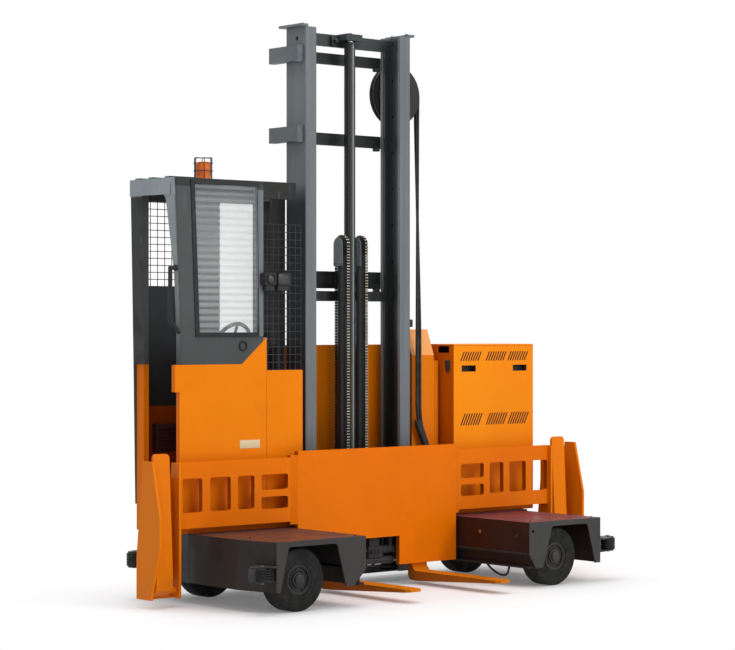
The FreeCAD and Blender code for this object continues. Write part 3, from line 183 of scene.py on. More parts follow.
def orange(name, base, shade, side, low_shade=0.0, inside=False):
    """Sprayed orange: cloudy tone, orange-peel, darker patches towards the bottom, scuffs, painted shade on
    the end faces and low on the front faces, and, where asked, painted shade on the cab's inner back wall.
    """
    f = Finish(name, base, 0.38)
    f.over(f.noise(1.6, 3.0, (1, 1, 0.6), 0.35, 0.65), shade, 0.55)
    f.over(f.noise(9.0, 4.0, (1, 1, 1), 0.58, 0.72), shade, 0.25)
    # Darker in patches towards the bottom.
    low_down = f.along("Z", 0.45, 0.10)
    f.over(f.times(low_down, f.noise(6.0, 4.0, (1, 1, 0.4), 0.40, 0.80)), (150, 80, 14), 0.3)
    f.over(f.noise(60.0, 6.0, (1, 1, 0.3), 0.70, 0.74), (120, 66, 20), 0.16)
    # Painted shade: the side colour darkens the front faces low down and every face that points to -X.
    f.over(f.both(f.along("Z", 0.86, 0.46), f.facing("Y", -0.5, -0.85)), side, low_shade)
    f.over(f.facing("X", -0.5, -0.85), side)
    if inside:
        # Painted shade on the cab's inner back wall.
        shaded_back_wall = f.both(f.facing("Y", -0.5, -0.85), f.along("Y", 0.565, 0.572))
        f.over(shaded_back_wall, (128, 56, 4))
    f.gloss(f.noise(5.0, 4.0), 0.32, 0.46)
    f.grain(420.0, 0.00035)
    f.shader.inputs["Specular IOR Level"].default_value = 0.08
    return f.done()


def dark_paint(name, base, light, rough=0.5):
    """Satin dark paint with faint vertical wipe marks, light cloudy patches, and lighter on faces that point
    up.
    """
    f = Finish(name, base, rough)
    f.over(f.noise(3.0, 4.0, (1, 1, 0.5), 0.35, 0.7), light, 0.5)
    f.over(f.noise(45.0, 5.0, (1, 1, 0.15), 0.62, 0.72), light, 0.45)
    # Lighter on faces that point up.
    f.over(f.ramp(f.facing("Z"), 0.0, 1.0), light, 0.25)
    f.gloss(f.noise(8.0, 4.0), rough - 0.08, rough + 0.12)
    f.grain(260.0, 0.0003)
    return f.done()


def deck_paint(name, base, painted_end_shade, top_colour, top_scuff):
    """Dark skirts with a red-brown deck top, worn by loads, and painted shade on faces that point to -X."""
    f = Finish(name, base, 0.5)
    f.over(f.noise(3.0, 4.0, (1, 1, 0.5), 0.35, 0.7), (70, 66, 64), 0.45)
    # Painted shade on the faces that point to -X.
    f.over(f.facing("X", -0.5, -0.8), painted_end_shade)
    top = f.times(f.facing("Z", 0.7, 0.9), f.along("Z", 0.37, 0.375))
    f.over(top, top_colour)
    scuffs = f.noise(26.0, 6.0, (0.25, 1, 1), 0.52, 0.70)
    f.over(f.times(top, scuffs), top_scuff, 0.55)
    f.over(f.times(top, f.noise(70.0, 3.0, (1, 0.2, 1), 0.66, 0.70)), (150, 120, 112), 0.4)
    f.gloss(f.noise(6.0, 4.0), 0.36, 0.55)
    f.grain(240.0, 0.0003)
    return f.done()


def mast_finish(name, base, light, dark, shaded=False, tall=None):
    """Rail paint with drawn marks along it; a painted shadow of the cab on the left rail's outer side, or
    another tone high up.
    """
    f = Finish(name, base, 0.42)
    drawn = f.noise(26.0, 5.0, (1, 1, 0.03), 0.42, 0.62)
    f.over(drawn, light, 0.35)
    f.over(f.noise(1.4, 3.0, (1, 1, 0.6), 0.40, 0.65), dark, 0.20)
    f.over(f.noise(120.0, 4.0, (1, 1, 0.1), 0.66, 0.70), light, 0.5)
    if shaded:
        # Painted shadow of the cab on the left rail's outer side, below the roof.
        cab_shadow_mask = f.both(f.facing("X", -0.5, -0.8), f.along("X", -0.38, -0.39))
        f.over(f.both(cab_shadow_mask, f.along("Z", 2.34, 2.18)), (46, 48, 50), 0.8)
    if tall:
        f.over(f.along("Z", 1.3, 2.4), tall, 0.7)
    f.gloss(drawn, 0.34, 0.50)
    f.grain(160.0, 0.0003, 3.0, (1, 1, 0.1))
    return f.done()


def cylinder_paint(name):
    """Polished black barrel with a painted highlight down its front."""
    f = Finish(name, (30, 32, 32), 0.3)
    f.over(f.noise(26.0, 5.0, (1, 1, 0.03), 0.42, 0.62), (50, 54, 54), 0.4)
    # Painted highlight: a lighter band and a bright line where the barrel faces -Y.
    f.over(f.facing("Y", -0.72, -0.97), (68, 73, 72), 0.6)
    f.over(f.facing("Y", -0.985, -0.997), (150, 156, 152), 0.7)
    f.gloss(f.noise(9.0, 4.0), 0.24, 0.40)
    f.grain(160.0, 0.0002, 3.0, (1, 1, 0.1))
    return f.done()


def crossbar_paint(name):
    """Dark bars, with the two side arms beside the left rail in the rails' grey."""
    f = Finish(name, (30, 31, 31), 0.42)
    f.over(f.noise(20.0, 5.0, (0.1, 1, 1), 0.42, 0.66), (46, 48, 48), 0.5)
    arms = f.along("X", -0.396, -0.399)
    f.over(arms, (92, 98, 101))
    f.over(f.times(arms, f.noise(24.0, 4.0, (1, 0.2, 1), 0.42, 0.66)), (112, 118, 121), 0.4)
    f.gloss(f.noise(9.0, 4.0), 0.34, 0.50)
    f.grain(160.0, 0.0003)
    return f.done()


def cab_frame_paint(name):
    """Grey cab frame: painted reflections on the door pillar's and roof's end faces, painted shade on the end
    faces at the back, and dark at the back.
    """
    f = Finish(name, (64, 68, 67), 0.48)
    f.over(f.noise(3.0, 4.0, (1, 1, 0.5), 0.35, 0.7), (76, 80, 79), 0.5)
    f.over(f.both(f.along("Z", 2.262, 2.270), f.facing("Y", -0.5, -0.85)), (40, 42, 42))
    f.over(f.both(f.along("X", -0.768, -0.764), f.along("Z", 2.19, 2.20)), (32, 31, 30))
    f.over(f.both(f.along("X", -0.60, -0.58), f.along("Y", 0.38, 0.39)), (30, 28, 27))
    end_face = f.facing("X", -0.45, -0.9)
    # Painted shade on the end faces at the back.
    f.over(f.both(end_face, f.along("Y", 0.44, 0.45)), (32, 35, 34))
    # Painted reflections on the roof's and the door pillar's end faces.
    pale = (140, 147, 151)
    f.over(f.both(end_face, f.along("Z", 2.214, 2.222)), pale, 0.9)
    f.over(f.both(end_face, f.along("Y", 0.40, 0.38), f.along("Z", 1.30, 1.75)), pale, 0.85)
    f.over(f.noise(45.0, 5.0, (1, 1, 0.15), 0.62, 0.72), (96, 100, 99), 0.3)
    f.gloss(f.noise(8.0, 4.0), 0.40, 0.60)
    f.grain(260.0, 0.0003)
    return f.done()


def hood_paint(name):
    """The tall hood: orange, with a painted reflection on its sloped top front and painted shade on its end
    face.
    """
    f = Finish(name, (226, 120, 10), 0.38)
    f.over(f.noise(1.6, 3.0, (1, 1, 0.6), 0.35, 0.65), (212, 108, 8), 0.55)
    # Painted reflection on the sloped top front.
    f.over(f.both(f.facing("Y", -0.2, -0.4), f.along("Z", 1.33, 1.334)), (240, 172, 104), 0.8)
    # Painted shade on the end face that points to -X.
    f.over(f.facing("X", -0.5, -0.85), (170, 82, 4))
    f.gloss(f.noise(5.0, 4.0), 0.32, 0.46)
    f.grain(420.0, 0.0003)
    f.shader.inputs["Specular IOR Level"].default_value = 0.1
    return f.done()


def lining_paint(name):
    """Pale ribbed lining, with painted shade in its grooves."""
    f = Finish(name, (134, 137, 136), 0.55)
    wave = f.node("ShaderNodeMath", operation="SINE")
    f.link(f.times(f.axis("Z"), 2 * math.pi / LINING_PITCH), wave.inputs[0])
    # Painted shade: dark bands at the pitch of the ribs.
    f.over(f.ramp(wave.outputs[0], -0.4, 0.8), (84, 87, 86))
    f.over(f.noise(8.0, 4.0), (138, 141, 140), 0.2)
    f.gloss(f.noise(12.0, 3.0), 0.5, 0.62)
    f.grain(300.0, 0.0002)
    return f.done()


def steel(name, base, shade, rough=0.4, metal=0.8):
    """Bare or blackened steel with darker patches."""
    f = Finish(name, base, rough, metal)
    f.over(f.noise(22.0, 5.0, (1, 1, 1), 0.40, 0.65), shade, 0.6)
    f.gloss(f.noise(30.0, 4.0), rough - 0.1, rough + 0.15)
    f.grain(300.0, 0.0002)
    return f.done()


def rubber(name, base, dust, rough=0.75):
    """Matt rubber with dust on it."""
    f = Finish(name, base, rough)
    f.over(f.noise(18.0, 5.0, (1, 1, 1), 0.42, 0.68), dust, 0.45)
    f.over(f.noise(160.0, 3.0, (1, 1, 1), 0.60, 0.72), dust, 0.35)
    f.gloss(f.noise(20.0, 4.0), rough - 0.12, rough + 0.1)
    f.grain(700.0, 0.0004)
    return f.done()


def plastic(name, base, light, rough=0.5):
    """Moulded plastic, or thin lacquer, with faint clouds."""
    f = Finish(name, base, rough)
    f.over(f.noise(12.0, 4.0, (1, 1, 1), 0.4, 0.7), light, 0.4)
    f.gloss(f.noise(24.0, 3.0), rough - 0.06, rough + 0.1)
    f.grain(900.0, 0.00015)
    return f.done()


def glass(name, tint, alpha, rough=0.04):
    """Clear pane: mostly see-through, with a faint film and a painted reflection of the ribbed lining in
    bands.
    """
    f = Finish(name, tint, rough)
    f.over(f.noise(3.5, 4.0, (1, 1, 0.4), 0.45, 0.75), (250, 252, 252), 0.4)
    # Painted reflection of the ribbed lining, in bands at its pitch.
    wave = f.node("ShaderNodeMath", operation="SINE")
    f.link(f.times(f.axis("Z"), 2 * math.pi / LINING_PITCH), wave.inputs[0])
    f.over(f.ramp(wave.outputs[0], -0.6, 0.9), (160, 164, 163), 0.8)
    f.gloss(f.noise(6.0, 3.0), 0.03, 0.09)
    f.shader.inputs["Alpha"].default_value = alpha
    f.shader.inputs["Specular IOR Level"].default_value = 0.6
    return f.done()


# The function that makes each finish, then its colours and its amounts
COATS = {
    # For orange: base, cloudy tone, the painted shade for end faces and low front faces, the share of that low
    # painted shade, and painted shade on the inner back wall.
    "cab_orange": (orange, (234, 127, 3), (224, 115, 2), (204, 102, 4), 0.75, True),
    "plate_orange": (orange, (230, 114, 0), (218, 104, 0), (150, 72, 4)),
    "battery_orange": (orange, (242, 139, 12), (234, 128, 8), (190, 90, 4), 0.6),
    "bracket_orange": (orange, (236, 126, 6), (222, 112, 4), (206, 110, 8)),
    "tine_orange": (orange, (214, 122, 14), (184, 98, 10), (150, 78, 8)),
    "hood_orange": (hood_paint,),
    "cab_frame": (cab_frame_paint,),
    "crossbar_paint": (crossbar_paint,),
    "panel_black": (dark_paint, (36, 38, 40), (50, 52, 54), 0.42),
    # For decks: base, the painted shade of faces that point to -X, top, top scuffs.
    "deck_left": (deck_paint, (50, 48, 47), (30, 26, 24), (80, 50, 42), (104, 74, 60)),
    "deck_right": (deck_paint, (48, 47, 46), (40, 20, 18), (98, 46, 52), (120, 68, 70)),
    # For rails: base, light, dark, whether the cab's painted shadow is laid on, and the tone high up.
    "mast_grey": (mast_finish, (102, 107, 110), (122, 127, 130), (76, 80, 83), True),
    "mast_dark": (mast_finish, (34, 35, 35), (58, 61, 61), (22, 23, 24), False, (56, 61, 62)),
    "chain_dark": (steel, (44, 40, 36), (28, 25, 22), 0.5, 0.4),
    "cylinder_black": (cylinder_paint,),
    "fitting_black": (dark_paint, (40, 40, 41), (62, 62, 63), 0.45),
    "rail_brown": (dark_paint, (26, 22, 21), (42, 36, 33), 0.5),
    "rod_chrome": (steel, (188, 190, 192), (150, 152, 155), 0.15, 1.0),
    # Bright steel for the painted highlights on the chain crowns.
    "chain_steel": (steel, (206, 198, 180), (150, 138, 118), 0.5, 0.3),
    "bolt_steel": (steel, (120, 118, 114), (70, 66, 62), 0.35, 0.8),
    "tyre_black": (rubber, (21, 20, 19), (38, 36, 33)),
    "hose_black": (rubber, (30, 31, 32), (58, 60, 62), 0.5),
    "hub_black": (dark_paint, (42, 42, 42), (66, 64, 60), 0.45),
    "trim_black": (plastic, (30, 32, 33), (44, 46, 47)),
    "glass_clear": (glass, (224, 228, 228), 0.16),
    "lens_amber": (plastic, (233, 112, 32), (246, 140, 52), 0.25),
    "slot_dark": (plastic, (48, 6, 2), (64, 10, 3), 0.6),
    "lamp_glass": (plastic, (58, 60, 62), (84, 87, 90), 0.12),
    "lining_grey": (lining_paint,),
    "plate_blank": (plastic, (214, 196, 156), (224, 208, 172), 0.4),
    "seam_orange": (plastic, (176, 88, 6), (190, 98, 8), 0.5),
    "vent_brown": (plastic, (46, 24, 20), (60, 34, 28), 0.5),
    "brass_bolt": (steel, (176, 116, 60), (120, 76, 40), 0.4, 0.6),
    "seat_black": (rubber, (34, 35, 37), (54, 55, 57), 0.6),
}
PAINT = {name: make(name, *rest) for name, (make, *rest) in COATS.items()}

FINISH_OF = {
    "cab_orange": ("cab_lower", "rear_hood"),
    "hood_orange": ("side_hood",),
    "plate_orange": ("fork_carriage",),
    "battery_orange": ("battery_box",),
    "bracket_orange": ("fork_brackets", "folding_tine_left", "folding_tine_right"),
    "tine_orange": ("centre_tines",),
    "cab_frame": ("cab_frame",),
    "panel_black": ("cab_rear_panel", "cab_floor", "chassis_frame"),
    "deck_left": ("left_arm",),
    "deck_right": ("right_arm",),
    "mast_grey": ("outer_mast",),
    "mast_dark": ("inner_mast", "inner_crossbars", "carriage_guide", "lift_posts"),
    "crossbar_paint": ("mast_crossbars",),
    "cylinder_black": ("lift_cylinder",),
    "fitting_black": ("guide_rollers", "reach_rollers", "hose_pulley", "hose_sheath", "beacon_cage",
                      "work_lamp", "side_mesh", "rear_mesh", "battery_handles",
                      "battery_block", "carriage_hydraulics", "reach_frame", "steering_console"),
    "rail_brown": ("reach_rails",),
    "vent_brown": ("vent_box",),
    "rod_chrome": ("lift_rod",),
    "chain_steel": ("lift_chains",),
    "hose_black": ("mast_hoses",),
    "trim_black": ("grab_handle", "cab_seat"),
    "glass_clear": ("front_glass", "rear_glass"),
    "lens_amber": ("beacon",),
}
for finish, names in FINISH_OF.items():
    for name in names:
        for holder in cad[name].material_slots:
            holder.material = PAINT[finish]
for name, node in cad.items():
    for start, finish in (("tyre_", "tyre_black"), ("rim_", "hub_black"), ("knuckle_", "hub_black")):
        if name.startswith(start):
            for holder in node.material_slots:
                holder.material = PAINT[finish]


# ---- added pieces ----


class Piece:
    """Gathers the faces of one added piece and hands it to a body."""

    def __init__(self, name, paint, body="chassis"):
        self.name, self.paint, self.body = name, paint, body
        self.mesh = bmesh.new()

    def absorb(self, part, bevel=0.0, segments=2):
        """Takes in another mesh, with its sharp edges rounded first."""
        if bevel:
            sharp = [e for e in part.edges if len(e.link_faces) == 2 and e.calc_face_angle() > 0.6]
            bmesh.ops.bevel(part, geom=sharp, offset=bevel, segments=segments, affect="EDGES",
                            profile=0.5, clamp_overlap=True)
        bmesh.ops.recalc_face_normals(part, faces=part.faces)
        scratch = bpy.data.meshes.new("scratch")
        part.to_mesh(scratch)
        part.free()
        self.mesh.from_mesh(scratch)
        bpy.data.meshes.remove(scratch)
        return self

    def block(self, low, high, bevel=0.002):
        """A plate or block between two corners."""
        part = bmesh.new()
        bmesh.ops.create_cube(part, size=1.0)
        low, high = Vector(low), Vector(high)
        for v in part.verts:
            v.co = [low[i] + (v.co[i] + 0.5) * (high[i] - low[i]) for i in range(3)]
        return self.absorb(part, bevel)

    def outline(self, points, way, bevel=0.0008):
        """A flat outline carried along a vector."""
        part = bmesh.new()
        near = [part.verts.new(p) for p in points]
        far = [part.verts.new(Vector(p) + Vector(way)) for p in points]
        part.faces.new(near)
        part.faces.new(far[::-1])
        for i in range(len(points)):
            j = (i + 1) % len(points)
            part.faces.new((near[i], near[j], far[j], far[i]))
        return self.absorb(part, bevel)

    def lathe(self, profile, centre, axis, sides=24):
        """Turns a closed (radius, along) profile about an axis."""
        turn = Vector(axis).to_track_quat("Z", "Y").to_matrix()
        part = bmesh.new()
        rings = []
        for r, along in profile:
            ring = []
            for i in range(sides):
                a = 2 * math.pi * i / sides
                place = turn @ Vector((r * math.cos(a), r * math.sin(a), along))
                ring.append(part.verts.new(Vector(centre) + place))
            rings.append(ring)
        for a, b in zip(rings, rings[1:] + rings[:1]):
            for i in range(sides):
                j = (i + 1) % sides
                part.faces.new((a[i], a[j], b[j], b[i]))
        return self.absorb(part)

    def rod(self, start, end, radius, sides=16, bevel=0.001):
        """A round bar, or one of few sides, between two points."""
        start, end = Vector(start), Vector(end)
        part = bmesh.new()
        turn = (end - start).to_track_quat("Z", "Y").to_matrix().to_4x4()
        place = Matrix.Translation((start + end) / 2) @ turn
        bmesh.ops.create_cone(part, cap_ends=True, segments=sides, radius1=radius, radius2=radius,
                              depth=(end - start).length, matrix=place)
        return self.absorb(part, bevel)

    def tube(self, points, radius, sides=10):
        """A round tube along a path, its rings kept from twisting."""
        part = bmesh.new()
        rings = []
        across = None
        for i, p in enumerate(points):
            way = Vector(points[min(i + 1, len(points) - 1)]) - Vector(points[max(i - 1, 0)])
            way.normalize()
            if across is None:
                across = way.orthogonal()
            across = (across - way * across.dot(way)).normalized()
            other = way.cross(across)
            ring = []
            for k in range(sides):
                a = 2 * math.pi * k / sides
                ring.append(part.verts.new(Vector(p) + across * (radius * math.cos(a))
                                           + other * (radius * math.sin(a))))
            rings.append(ring)
        for a, b in zip(rings, rings[1:]):
            for k in range(sides):
                j = (k + 1) % sides
                part.faces.new((a[k], a[j], b[j], b[k]))
        part.faces.new(rings[0])
        part.faces.new(rings[-1][::-1])
        return self.absorb(part)

    def done(self, stands_for=()):
        """Ends the piece and places it."""
        mesh = bpy.data.meshes.new(self.name)
        self.mesh.to_mesh(mesh)
        self.mesh.free()
        return place_piece(self.name, mesh, self.paint, self.body, stands_for)


def place_piece(name, mesh, paint, body, stands_for=()):
    """Gives a mesh its finish and body, and hides the parts it stands for."""
    obj = bpy.data.objects.new(name, mesh)
    bpy.context.collection.objects.link(obj)
    mesh.materials.clear()
    mesh.materials.append(PAINT[paint])
    for face in mesh.polygons:
        face.use_smooth = True
        face.material_index = 0
    mesh.set_sharp_from_angle(angle=math.radians(35))
    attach(obj, body)
    if stands_for:
        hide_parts(*stands_for)
    return obj


# ---- repeats by Geometry Nodes ----

def repeat_tree():
    """Copies a unit to every point of a mesh: its z along 'aim', its x along 'side'."""
    tree = bpy.data.node_groups.new("repeat_unit", "GeometryNodeTree")
    sockets = {}
    for key, kind in (("places", "Geometry"), ("unit", "Object"), ("size", "Float"), ("finish", "Material")):
        sockets[key] = tree.interface.new_socket(key.title(), in_out="INPUT",
                                                 socket_type="NodeSocket" + kind)
    tree.interface.new_socket("Geometry", in_out="OUTPUT", socket_type="NodeSocketGeometry")
    start = tree.nodes.new("NodeGroupInput")
    end = tree.nodes.new("NodeGroupOutput")
    unit = tree.nodes.new("GeometryNodeObjectInfo")
    copies = tree.nodes.new("GeometryNodeInstanceOnPoints")
    turns = []
    for name, axis in (("aim", "Z"), ("side", "X")):
        way = tree.nodes.new("GeometryNodeInputNamedAttribute")
        way.data_type = "FLOAT_VECTOR"
        way.inputs["Name"].default_value = name
        turn = tree.nodes.new("FunctionNodeAlignRotationToVector")
        turn.axis = axis
        turn.pivot_axis = "AUTO" if axis == "Z" else "Z"
        tree.links.new(way.outputs["Attribute"], turn.inputs["Vector"])
        turns.append(turn)
    solid = tree.nodes.new("GeometryNodeRealizeInstances")
    finish = tree.nodes.new("GeometryNodeSetMaterial")
    for a, b in (
        (turns[0].outputs[0], turns[1].inputs["Rotation"]),
        (start.outputs["Places"], copies.inputs["Points"]),
        (start.outputs["Unit"], unit.inputs["Object"]),
        (unit.outputs["Geometry"], copies.inputs["Instance"]),
        (turns[1].outputs[0], copies.inputs["Rotation"]),
        (start.outputs["Size"], copies.inputs["Scale"]),
        (copies.outputs[0], solid.inputs[0]),
        (solid.outputs[0], finish.inputs["Geometry"]),
        (start.outputs["Finish"], finish.inputs["Material"]),
        (finish.outputs[0], end.inputs[0]),
    ):
        tree.links.new(a, b)
    return tree, {key: socket.identifier for key, socket in sockets.items()}


REPEAT, REPEAT_INPUT = repeat_tree()


def repeated(name, unit, places, paint, body, size=1.0, stands_for=()):
    """One mesh of copies of a unit at (point, aim, side) places."""
    base = bpy.data.meshes.new(name + "_places")
    base.from_pydata([p for p, aim, side in places], [], [])
    for label, index in (("aim", 1), ("side", 2)):
        values = [c for place in places for c in place[index]]
        base.attributes.new(label, "FLOAT_VECTOR", "POINT").data.foreach_set("vector", values)
    holder = bpy.data.objects.new(name + "_places", base)
    bpy.context.collection.objects.link(holder)
    modifier = holder.modifiers.new("repeat", "NODES")
    modifier.node_group = REPEAT
    modifier[REPEAT_INPUT["unit"]] = unit
    modifier[REPEAT_INPUT["size"]] = size
    modifier[REPEAT_INPUT["finish"]] = PAINT[paint]
    bpy.context.view_layer.update()
    ready = holder.evaluated_get(bpy.context.evaluated_depsgraph_get())
    mesh = bpy.data.meshes.new_from_object(ready)
    holder.modifiers.remove(modifier)
    bpy.data.objects.remove(holder)
    for label in ("aim", "side"):
        if label in mesh.attributes:
            mesh.attributes.remove(mesh.attributes[label])
    mesh.name = name
    return place_piece(name, mesh, paint, body, stands_for)


def unit_object(name, build):
    """A unit to repeat, made at the origin; it is removed once its copies are made."""
    piece = Piece(name, "bolt_steel")
    build(piece)
    mesh = bpy.data.meshes.new(name)
    piece.mesh.to_mesh(mesh)
    piece.mesh.free()
    obj = bpy.data.objects.new(name, mesh)
    bpy.context.collection.objects.link(obj)
    return obj


def bolt_unit(piece):
    """A hexagon bolt head of 10 mm radius on its washer."""
    piece.rod((0, 0, -0.001), (0, 0, 0.002), 0.012, 12, 0.0)
    piece.rod((0, 0, 0.002), (0, 0, 0.009), 0.0095, 6, 0.0012)


def link_unit(piece):
    """The plates of one chain link: two at the sides and a pack between them."""
    half, high = CHAIN_PITCH / 2, 0.0050
    for x0, x1 in ((-0.0120, -0.0100), (0.0100, 0.0120), (-0.0060, 0.0060)):
        shape = [(x0, -high, -half * 0.5), (x0, 0, -half * 0.95), (x0, high, -half * 0.5),
                 (x0, high, half * 0.5), (x0, 0, half * 0.95), (x0, -high, half * 0.5)]
        piece.outline(shape, (x1 - x0, 0, 0), 0.0)


def pin_unit(piece):
    """Small blocks at the crown of a link, where it meets the next one, that carry a painted highlight."""
    half = CHAIN_PITCH / 4
    for y in (-0.0062, 0.0062):
        for x0, x1 in ((-0.0095, -0.0015), (0.0015, 0.0095)):
            piece.block((x0, y - 0.0012, -half * 0.75), (x1, y + 0.0012, half * 0.75), 0.0)


BOLT = unit_object("bolt_unit", bolt_unit)
LINK = unit_object("link_unit", link_unit)
PIN = unit_object("pin_unit", pin_unit)


def on_face(points, way):
    """Places for bolts that all point one way."""
    side = (0, 0, 1) if abs(way[2]) < 0.5 else (1, 0, 0)
    return [(p, way, side) for p in points]


# ---- wheels ----

def ring_profile(radius, width, height, base):
    """A low raised ring on a flat face."""
    return [(radius - width, base), (radius - width * 0.6, base + height),
            (radius + width * 0.6, base + height), (radius + width, base)]


TYRE_RADIUS = 0.170
# Radius, width and height of each ring moulded on a tyre's wall
WALL_RINGS = ((0.145, 0.0030, 0.0022), (0.128, 0.0022, 0.0016), (0.112, 0.0022, 0.0016),
              (0.090, 0.0050, 0.0028))
TREAD_RIBS = (0.034, 0.060, 0.086)      # ribs round the tread, from the tyre's outer wall
WHEEL_BOLTS = 5
WHEEL_BOLT_CIRCLE = 0.061


def wheel_details(name):
    """Rings and ribs of a tyre, and the hub's collar, cap and bolts."""
    low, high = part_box("rim_" + name)
    x, z = (low[0] + high[0]) / 2, (low[2] + high[2]) / 2
    tyre_low, tyre_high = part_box("tyre_" + name)
    body = "wheel_" + name
    rings = Piece("tyre_rings_" + name, "tyre_black", body)
    for y, way in ((tyre_low[1], -1), (tyre_high[1], 1)):
        for radius, width, height in WALL_RINGS:
            rings.lathe(ring_profile(radius, width, height, -0.001), (x, y, z), (0, way, 0), 64)
    inner, outer = TYRE_RADIUS - 0.0015, TYRE_RADIUS - 0.0001
    for across in TREAD_RIBS:
        rings.lathe([(inner, -0.002), (outer, -0.0012), (outer, 0.0012), (inner, 0.002)],
                    (x, tyre_low[1] + across, z), (0, 1, 0), 72)
    rings.done()
    face = low[1]
    hub = Piece("hub_parts_" + name, "hub_black", body)
    collar = [(0.074, -0.001), (0.0755, -0.004), (0.080, -0.004), (0.0815, -0.001),
              (0.0815, 0.002), (0.074, 0.002)]
    cap = [(0.0005, -0.013), (0.022, -0.013), (0.028, -0.009), (0.030, 0.001), (0.0005, 0.001)]
    shoulder = [(0.044, 0.011), (0.048, 0.006), (0.052, 0.006), (0.056, 0.013), (0.044, 0.015)]
    for profile, sides in ((collar, 48), (cap, 32), (shoulder, 40)):
        hub.lathe(profile, (x, face, z), (0, 1, 0), sides)
    hub.done()
    bolts = []
    for i in range(WHEEL_BOLTS):
        a = 2 * math.pi * (i + 0.25) / WHEEL_BOLTS
        bolts.append((x + WHEEL_BOLT_CIRCLE * math.cos(a), face + 0.0135,
                      z + WHEEL_BOLT_CIRCLE * math.sin(a)))
    repeated("rim_bolts_" + name, BOLT, on_face(bolts, (0, -1, 0)), "hub_black", body, 0.72)


for wheel in ("front_left", "front_right", "rear_left", "rear_right"):
    wheel_details(wheel)


# ---- chains and sheaves ----

def chain_places(x, mid_y, radius, centre_z, foot_z):
    """Places of a chain's links: up the front run to its crown, then those down the back run."""
    across = (1, 0, 0)
    front = []
    start_z = foot_z + 0.07
    for i in range(int((centre_z - start_z) / CHAIN_PITCH)):
        front.append(((x, mid_y - radius, start_z + (i + 0.5) * CHAIN_PITCH), (0, 0, 1), across))
    turns = int(math.pi * radius / CHAIN_PITCH)
    for i in range(turns):
        a = math.pi * (i + 0.5) / turns
        y, z = mid_y - radius * math.cos(a), centre_z + radius * math.sin(a)
        front.append(((x, y, z), (0, math.sin(a), math.cos(a)), across))
    back = []
    for i in range(int((centre_z - foot_z) / CHAIN_PITCH)):
        back.append(((x, mid_y + radius, centre_z - (i + 0.5) * CHAIN_PITCH), (0, 0, -1), across))
    return front, back


def chain_anchor(name, x, y, z):
    """The eye and threaded end that tie a chain to the fork frame."""
    anchor = Piece(name, "fitting_black", "fork_frame")
    anchor.block((x - 0.012, y - 0.009, z - 0.03), (x + 0.012, y + 0.009, z + 0.004), 0.002)
    anchor.rod((x, y, z - 0.06), (x, y, z - 0.028), 0.008, 12)
    anchor.done()


def sheave_covers(x, mid_y, centre_z):
    """A round-headed side plate beside each sheave, with three bolts."""
    covers = Piece("sheave_covers", "mast_grey", "inner_mast_stage")
    head, foot, thick = 0.040, 0.125, 0.004
    bolts = []
    for sign in (-1, 1):
        face = sign * x - 0.0285
        shape = [(face, mid_y + head, centre_z - foot), (face, mid_y - head, centre_z - foot)]
        for i in range(13):
            a = math.pi + math.pi * i / 12
            shape.append((face, mid_y + head * math.cos(a), centre_z - head * math.sin(a)))
        covers.outline(shape, (-thick, 0, 0))
        for y, z in ((-0.025, -0.108), (0.025, -0.108), (0.0, 0.0)):
            bolts.append(((face - thick, mid_y + y, centre_z + z), (-1, 0, 0), (0, 0, 1)))
    covers.done()
    repeated("sheave_bolts", BOLT, bolts, "bolt_steel", "inner_mast_stage", 0.55)


def chain_details():
    """Both leaf chains over their sheaves, with painted highlights as bright crowns on the front run."""
    low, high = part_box("lift_chains")
    half = (high[1] - low[1]) / 2
    mid_y = (low[1] + high[1]) / 2
    radius = half - 0.006
    centre_z = high[2] - half
    x = high[0] - 0.008
    for label, sign in (("left", -1), ("right", 1)):
        front, back = chain_places(sign * x, mid_y, radius, centre_z, low[2])
        # Painted highlights: bright pieces at the crowns of the front run.
        repeated("chain_crowns_" + label, PIN, front, "chain_steel", "inner_mast_stage")
        links = repeated("chain_" + label, LINK, front + back, "chain_dark", "inner_mast_stage")
        if label == "left":
            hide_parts("lift_chains")
        chain_anchor("chain_anchor_" + label, sign * x, mid_y - radius, low[2] + 0.07)
    sheave_covers(x, mid_y, centre_z)


chain_details()


# ---- mast ----

MAST_BACK_Y = 0.445                     # rear face of the fixed rails
# Foot and top of each cross bar between the fixed rails
CROSS_BARS = ((3.035, 3.100), (2.562, 2.633), (1.726, 1.826), (0.383, 0.475))
BAR_BOLTS_Z = (0.42, 1.76, 2.597, 3.067)


def mast_fittings():
    """Stop blocks under the cross bars, and the bracket that clamps the hoses."""
    parts = Piece("mast_fittings", "fitting_black", "reach_carriage")
    for z, _ in CROSS_BARS[:3]:
        for x0 in (0.268, -0.300):
            parts.block((x0, MAST_BACK_Y - 0.016, z - 0.018), (x0 + 0.032, MAST_BACK_Y + 0.016, z + 0.003))
    parts.block((0.397, 0.276, 1.500), (0.426, 0.300, 1.545))
    parts.done()


def cylinder_collars():
    """A gland collar at the head of the lift cylinder and one at its foot."""
    collar = Piece("cylinder_collars", "mast_dark", "reach_carriage")
    low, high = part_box("lift_cylinder")
    middle = (0, (low[1] + high[1]) / 2, 0)
    inner = (high[1] - low[1]) / 2 - 0.002
    outer = inner + 0.0065
    for z0, z1 in ((high[2] - 0.014, high[2] - 0.002), (0.075, 0.105)):
        collar.lathe([(inner, z0), (outer, z0 + 0.003), (outer, z1 - 0.003), (inner, z1)],
                     middle, (0, 0, 1), 36)
    collar.done()


